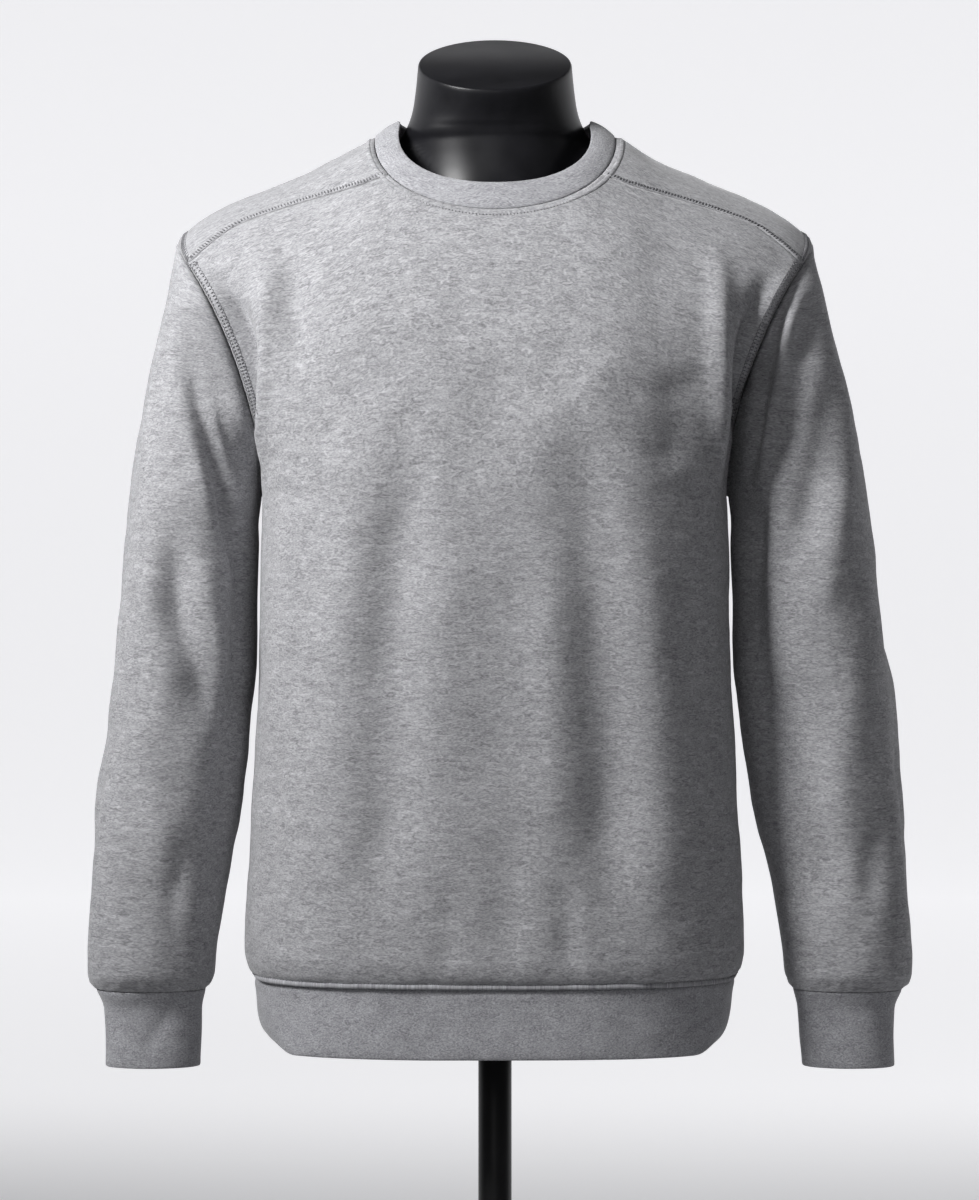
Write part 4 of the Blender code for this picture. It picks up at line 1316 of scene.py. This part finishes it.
def seam_details(body):
    """Every raised seam and row of threads, by a short name."""
    hem_line = [section_point(TORSO, FRONT, mix(-0.93, 0.93, k / 260), HEM_SEAM) for k in range(261)]
    piping = [p + Vector((0, 0, 0.0016)) for p in hem_line]
    neck_ring = []
    for k in range(240):
        place, normal = body.nearest(NECK_LINE(k / 240))
        way = (NECK_LINE((k + 1) / 240) - NECK_LINE((k - 1) / 240)).normalized()
        neck_ring.append(place + off_the_neck(place, way, normal) * 0.0048)
    details = {
        "piping": ridge_line(
            "hem_piping", piping, body, 0.0036, 0.0020, RIB_CLOTH, fading, out=0.0010
        ),
        "neck_ridge": ridge_line(
            "neck_seam_ridge", neck_ring, body, 0.0036, 0.0006, FLEECE_CLOTH, at_the_sides, True
        ),
    }
    neck = [NECK_LINE(k / 240) for k in range(241)]
    marks = {f"{side}_shoulder": shoulder_marks(body, sign) for side, sign in (("left", 1), ("right", -1))}
    marks.update({f"{side}_armhole": armhole_marks(body, sign) for side, sign in (("left", 1), ("right", -1))})
    marks["neck"] = rungs(neck, body, off_the_neck, 0.0042, 0.0018, 0.0024, 0.0010, 0.0005)
    marks["hem"] = hem_marks(body, hem_line)
    for key, found in marks.items():
        details[key] = stitches(f"{key}_stitches", found, THREAD_IN_PAINTED_SHADE)
    return details


def build():
    front, back = front_panel(), back_panel()
    details = seam_details(Surface(front, back))
    front_piece = finish("front_cloth", front, FLEECE_CLOTH, "front_panel", FLEECE)
    back_piece = finish("back_cloth", back, FLEECE_CLOTH, "back_panel", FLEECE)
    sleeves, cuffs = {}, {}
    for side in ("right", "left"):
        cloth = sleeve(side == "left")
        sleeves[side] = finish(
            f"{side}_sleeve_cloth", cloth, FLEECE_CLOTH, f"{side}_sleeve", FLEECE
        )
    for side in ("right", "left"):
        cloth = cuff(side == "left")
        cuffs[side] = finish(f"{side}_cuff_cloth", cloth, RIB_CLOTH, f"{side}_cuff", RIB, 0.0007)
    hem_piece = finish("hem_cloth", hem_band(), RIB_CLOTH, "hem_band", RIB, 0.0007)
    neck_piece = finish("neckband_cloth", neckband(), RIB_CLOTH, "neckband", RIB, 0.0007)


# ---------------------------------------------------------------- the dress form and its stand


def solve(function, low, high):
    """Where a rising function crosses zero between low and high."""
    for _ in range(40):
        middle = (low + high) / 2
        if function(middle) < 0:
            low = middle
        else:
            high = middle
    return (low + high) / 2


FormRing = namedtuple("FormRing", "step height half_width front_depth back_depth squareness middle")


def form_rings():
    rings = []
    for s in FORM_SECTIONS:
        rings.append((*s, RIDGE_Y * smoothstep((s.height - 0.45) / 0.15)))
    drop = (FLEECE + FORM_CLEARANCE) / math.cos(math.radians(24))
    for s in FORM_SHOULDERS:
        reach = solve(lambda x: s.height + drop - RIDGE(x), 0.02, SHOULDER_TIP_X)
        rings.append((s.height, reach, s.front_depth, s.back_depth, s.squareness, RIDGE_Y))
    for s in FORM_NECK:
        share = (s.height - FORM_NECK[0].height) / (FORM_NECK[-1].height - FORM_NECK[0].height)
        rings.append((*s, RIDGE_Y * (1 - share)))
    return [FormRing(k, *ring) for k, ring in enumerate(rings)]


def neck_in_front(x, ahead, height):
    """Carries the neck's round front straight down between the shoulders."""
    neck = math.sqrt(max(0.0, 1 - (x / NECK_FRONT_HALF_WIDTH) ** 2))
    shoulder = 0.62 * ahead
    joined = (neck + shoulder + math.hypot(neck - shoulder, 0.10 * ahead)) / 2
    joined /= (1.62 + math.hypot(0.38, 0.10)) / 2
    share = smoothstep((height - 0.626) / 0.016) * (1 - smoothstep((height - 0.689) / 0.014))
    return mix(ahead, joined, share)


def dress_form(columns=112, between=4):
    rings = form_rings()
    shape = columns_of(rings, "step")
    mesh = new_cloth()
    last = len(rings) - 1

    def place(u, t):
        step = t * last
        height = shape["height"](step)
        tilt = NECK_CAP_TILT * smoothstep((height - 0.685) / (FORM_NECK[-1].height - 0.685))
        x, ahead = oval(4 * (1 - u), shape["squareness"](step))
        depth = shape["front_depth" if ahead > 0 else "back_depth"](step)
        if ahead > 0:
            ahead = neck_in_front(shape["half_width"](step) * x, ahead, height)
        y = shape["middle"](step) - ahead * depth
        return Vector((shape["half_width"](step) * x, y, height + y * math.tan(tilt))), height

    add_grid(mesh, columns, last * between, place, flip=True)
    bmesh.ops.remove_doubles(mesh, verts=mesh.verts, dist=1e-6)
    bmesh.ops.holes_fill(mesh, edges=[e for e in mesh.edges if e.is_boundary], sides=0)
    bmesh.ops.recalc_face_normals(mesh, faces=mesh.faces)
    return finish("dress_form_lacquered", mesh, FORM_BLACK, "dress_form", bevel=0.0015)


def spun(profile, steps):
    """A closed shell spun round the Z axis from the points of its profile."""
    mesh = bmesh.new()
    verts = [mesh.verts.new(point) for point in profile]
    edges = [mesh.edges.new(pair) for pair in zip(verts, verts[1:])]
    bmesh.ops.spin(
        mesh, geom=verts + edges, cent=(0, 0, 0), axis=(0, 0, 1), angle=2 * math.pi, steps=steps, use_merge=True
    )
    bmesh.ops.remove_doubles(mesh, verts=mesh.verts, dist=1e-6)
    bmesh.ops.recalc_face_normals(mesh, faces=mesh.faces)
    return mesh


def turned(name, profile, node, steps=96):
    """A solid of black metal turned from its (radius, height) profile, which starts and ends on the axis."""
    mesh = spun([(radius, 0, height) for radius, height in profile], steps)
    return finish(name, mesh, METAL_BLACK, node, bevel=0.0008, lift=0.0)


COLLAR_RADIUS, COLLAR_HEIGHT, POLE_RADIUS = 0.022, 0.028, 0.0125
EDGE_BREAK = 0.002


def stand():
    base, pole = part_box("base_plate"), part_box("pole")
    radius, thick = base[1][0], base[1][2]
    base_profile = [
        (0, 0), (radius - EDGE_BREAK, 0), (radius, EDGE_BREAK),
        (radius, thick - 0.003), (radius - 0.003, thick), (0, thick),
    ]
    turned("base_plate_finished", base_profile, "base_plate")
    foot, top = pole[0][2], pole[1][2]
    collar_top = foot + COLLAR_HEIGHT
    pole_profile = [
        (0, foot), (COLLAR_RADIUS, foot), (COLLAR_RADIUS, collar_top - EDGE_BREAK),
        (COLLAR_RADIUS - EDGE_BREAK, collar_top), (POLE_RADIUS, collar_top), (POLE_RADIUS, top), (0, top),
    ]
    turned("pole_finished", pole_profile, "pole", steps=64)


# ---------------------------------------------------------------- floor, light and camera


def studio():
    """A pale floor that sweeps up, far out, into a wall all round. It glows with painted light: faintly in front
    (-Y), and brighter towards the wall behind the garment (+Y).
    """
    reach, bend, top = 7.0, 1.6, 5.8
    profile = [(0, 0), (1.0, 0), (reach - bend, 0)]
    for k in range(1, 13):
        angle = math.pi / 2 * k / 12
        profile.append((reach - bend + bend * math.sin(angle), bend * (1 - math.cos(angle))))
    profile.append((reach, top))
    below = 0.0005  # clear of the base plate
    mesh = spun([(0, radius, height - below) for radius, height in profile], 96)
    data = bpy.data.meshes.new("floor")
    mesh.to_mesh(data)
    mesh.free()
    data.shade_smooth()
    glowing_paper, tree, shader = nodes_of("pale paper with painted glow", 0.9)
    shader.inputs["Base Color"].default_value = (0.52, 0.52, 0.53, 1)
    shader.inputs["Specular IOR Level"].default_value = 0.1
    place = tree.nodes.new("ShaderNodeTexCoord").outputs["Object"]
    split = tree.nodes.new("ShaderNodeSeparateXYZ")
    tree.links.new(place, split.inputs["Vector"])
    # painted glow: the floor and wall give off light, faint in front and rising towards +Y behind the garment
    painted_glow = tree.nodes.new("ShaderNodeMapRange")
    painted_glow.interpolation_type = "SMOOTHSTEP"
    for socket, value in (("From Min", 0.3), ("From Max", 2.2), ("To Min", 0.02), ("To Max", 0.66)):
        painted_glow.inputs[socket].default_value = value
    tree.links.new(split.outputs["Y"], painted_glow.inputs["Value"])
    tree.links.new(painted_glow.outputs["Result"], shader.inputs["Emission Strength"])
    shader.inputs["Emission Color"].default_value = (0.98, 0.98, 1.0, 1)
    data.materials.append(glowing_paper)
    floor = bpy.data.objects.new("floor", data)
    bpy.context.scene.collection.objects.link(floor)


LIGHT_SPREAD = math.radians(60)


def area_light(name, place, aim, size, power):
    lamp = bpy.data.lights.new(name, "AREA")
    lamp.size = size
    lamp.energy = power
    lamp.spread = LIGHT_SPREAD
    thing = bpy.data.objects.new(name, lamp)
    thing.location = place
    thing.rotation_euler = (Vector(aim) - Vector(place)).to_track_quat("-Z", "Y").to_euler()
    bpy.context.scene.collection.objects.link(thing)


KEY_PLACE, FILL_PLACE = (-1.55, -1.16, 1.98), (-0.4, -3.2, 1.9)
CAMERA_PLACE = (-0.0041, -2.8, 0.647)
LENS, SENSOR_WIDTH = 112, 36


def lights_and_camera():
    area_light("key", KEY_PLACE, (-0.05, 0, 1.0), size=0.8, power=9.9)
    area_light("front", FILL_PLACE, (0, 0, 0.75), size=1.4, power=1.0)
    world = bpy.data.worlds.new("room")
    world.use_nodes = True
    world.node_tree.nodes["Background"].inputs["Color"].default_value = (1, 1, 1, 1)
    world.node_tree.nodes["Background"].inputs["Strength"].default_value = 0.06
    bpy.context.scene.world = world
    lens = bpy.data.cameras.new("camera")
    lens.lens = LENS
    lens.sensor_width = SENSOR_WIDTH
    camera = bpy.data.objects.new("camera", lens)
    camera.location = CAMERA_PLACE
    camera.rotation_euler = (math.pi / 2, 0, 0)
    bpy.context.scene.collection.objects.link(camera)
    bpy.context.scene.camera = camera
    bpy.context.scene.view_settings.view_transform = "Standard"


build()
dress_form()
stand()
studio()
lights_and_camera()

bpy.context.view_layer.update()
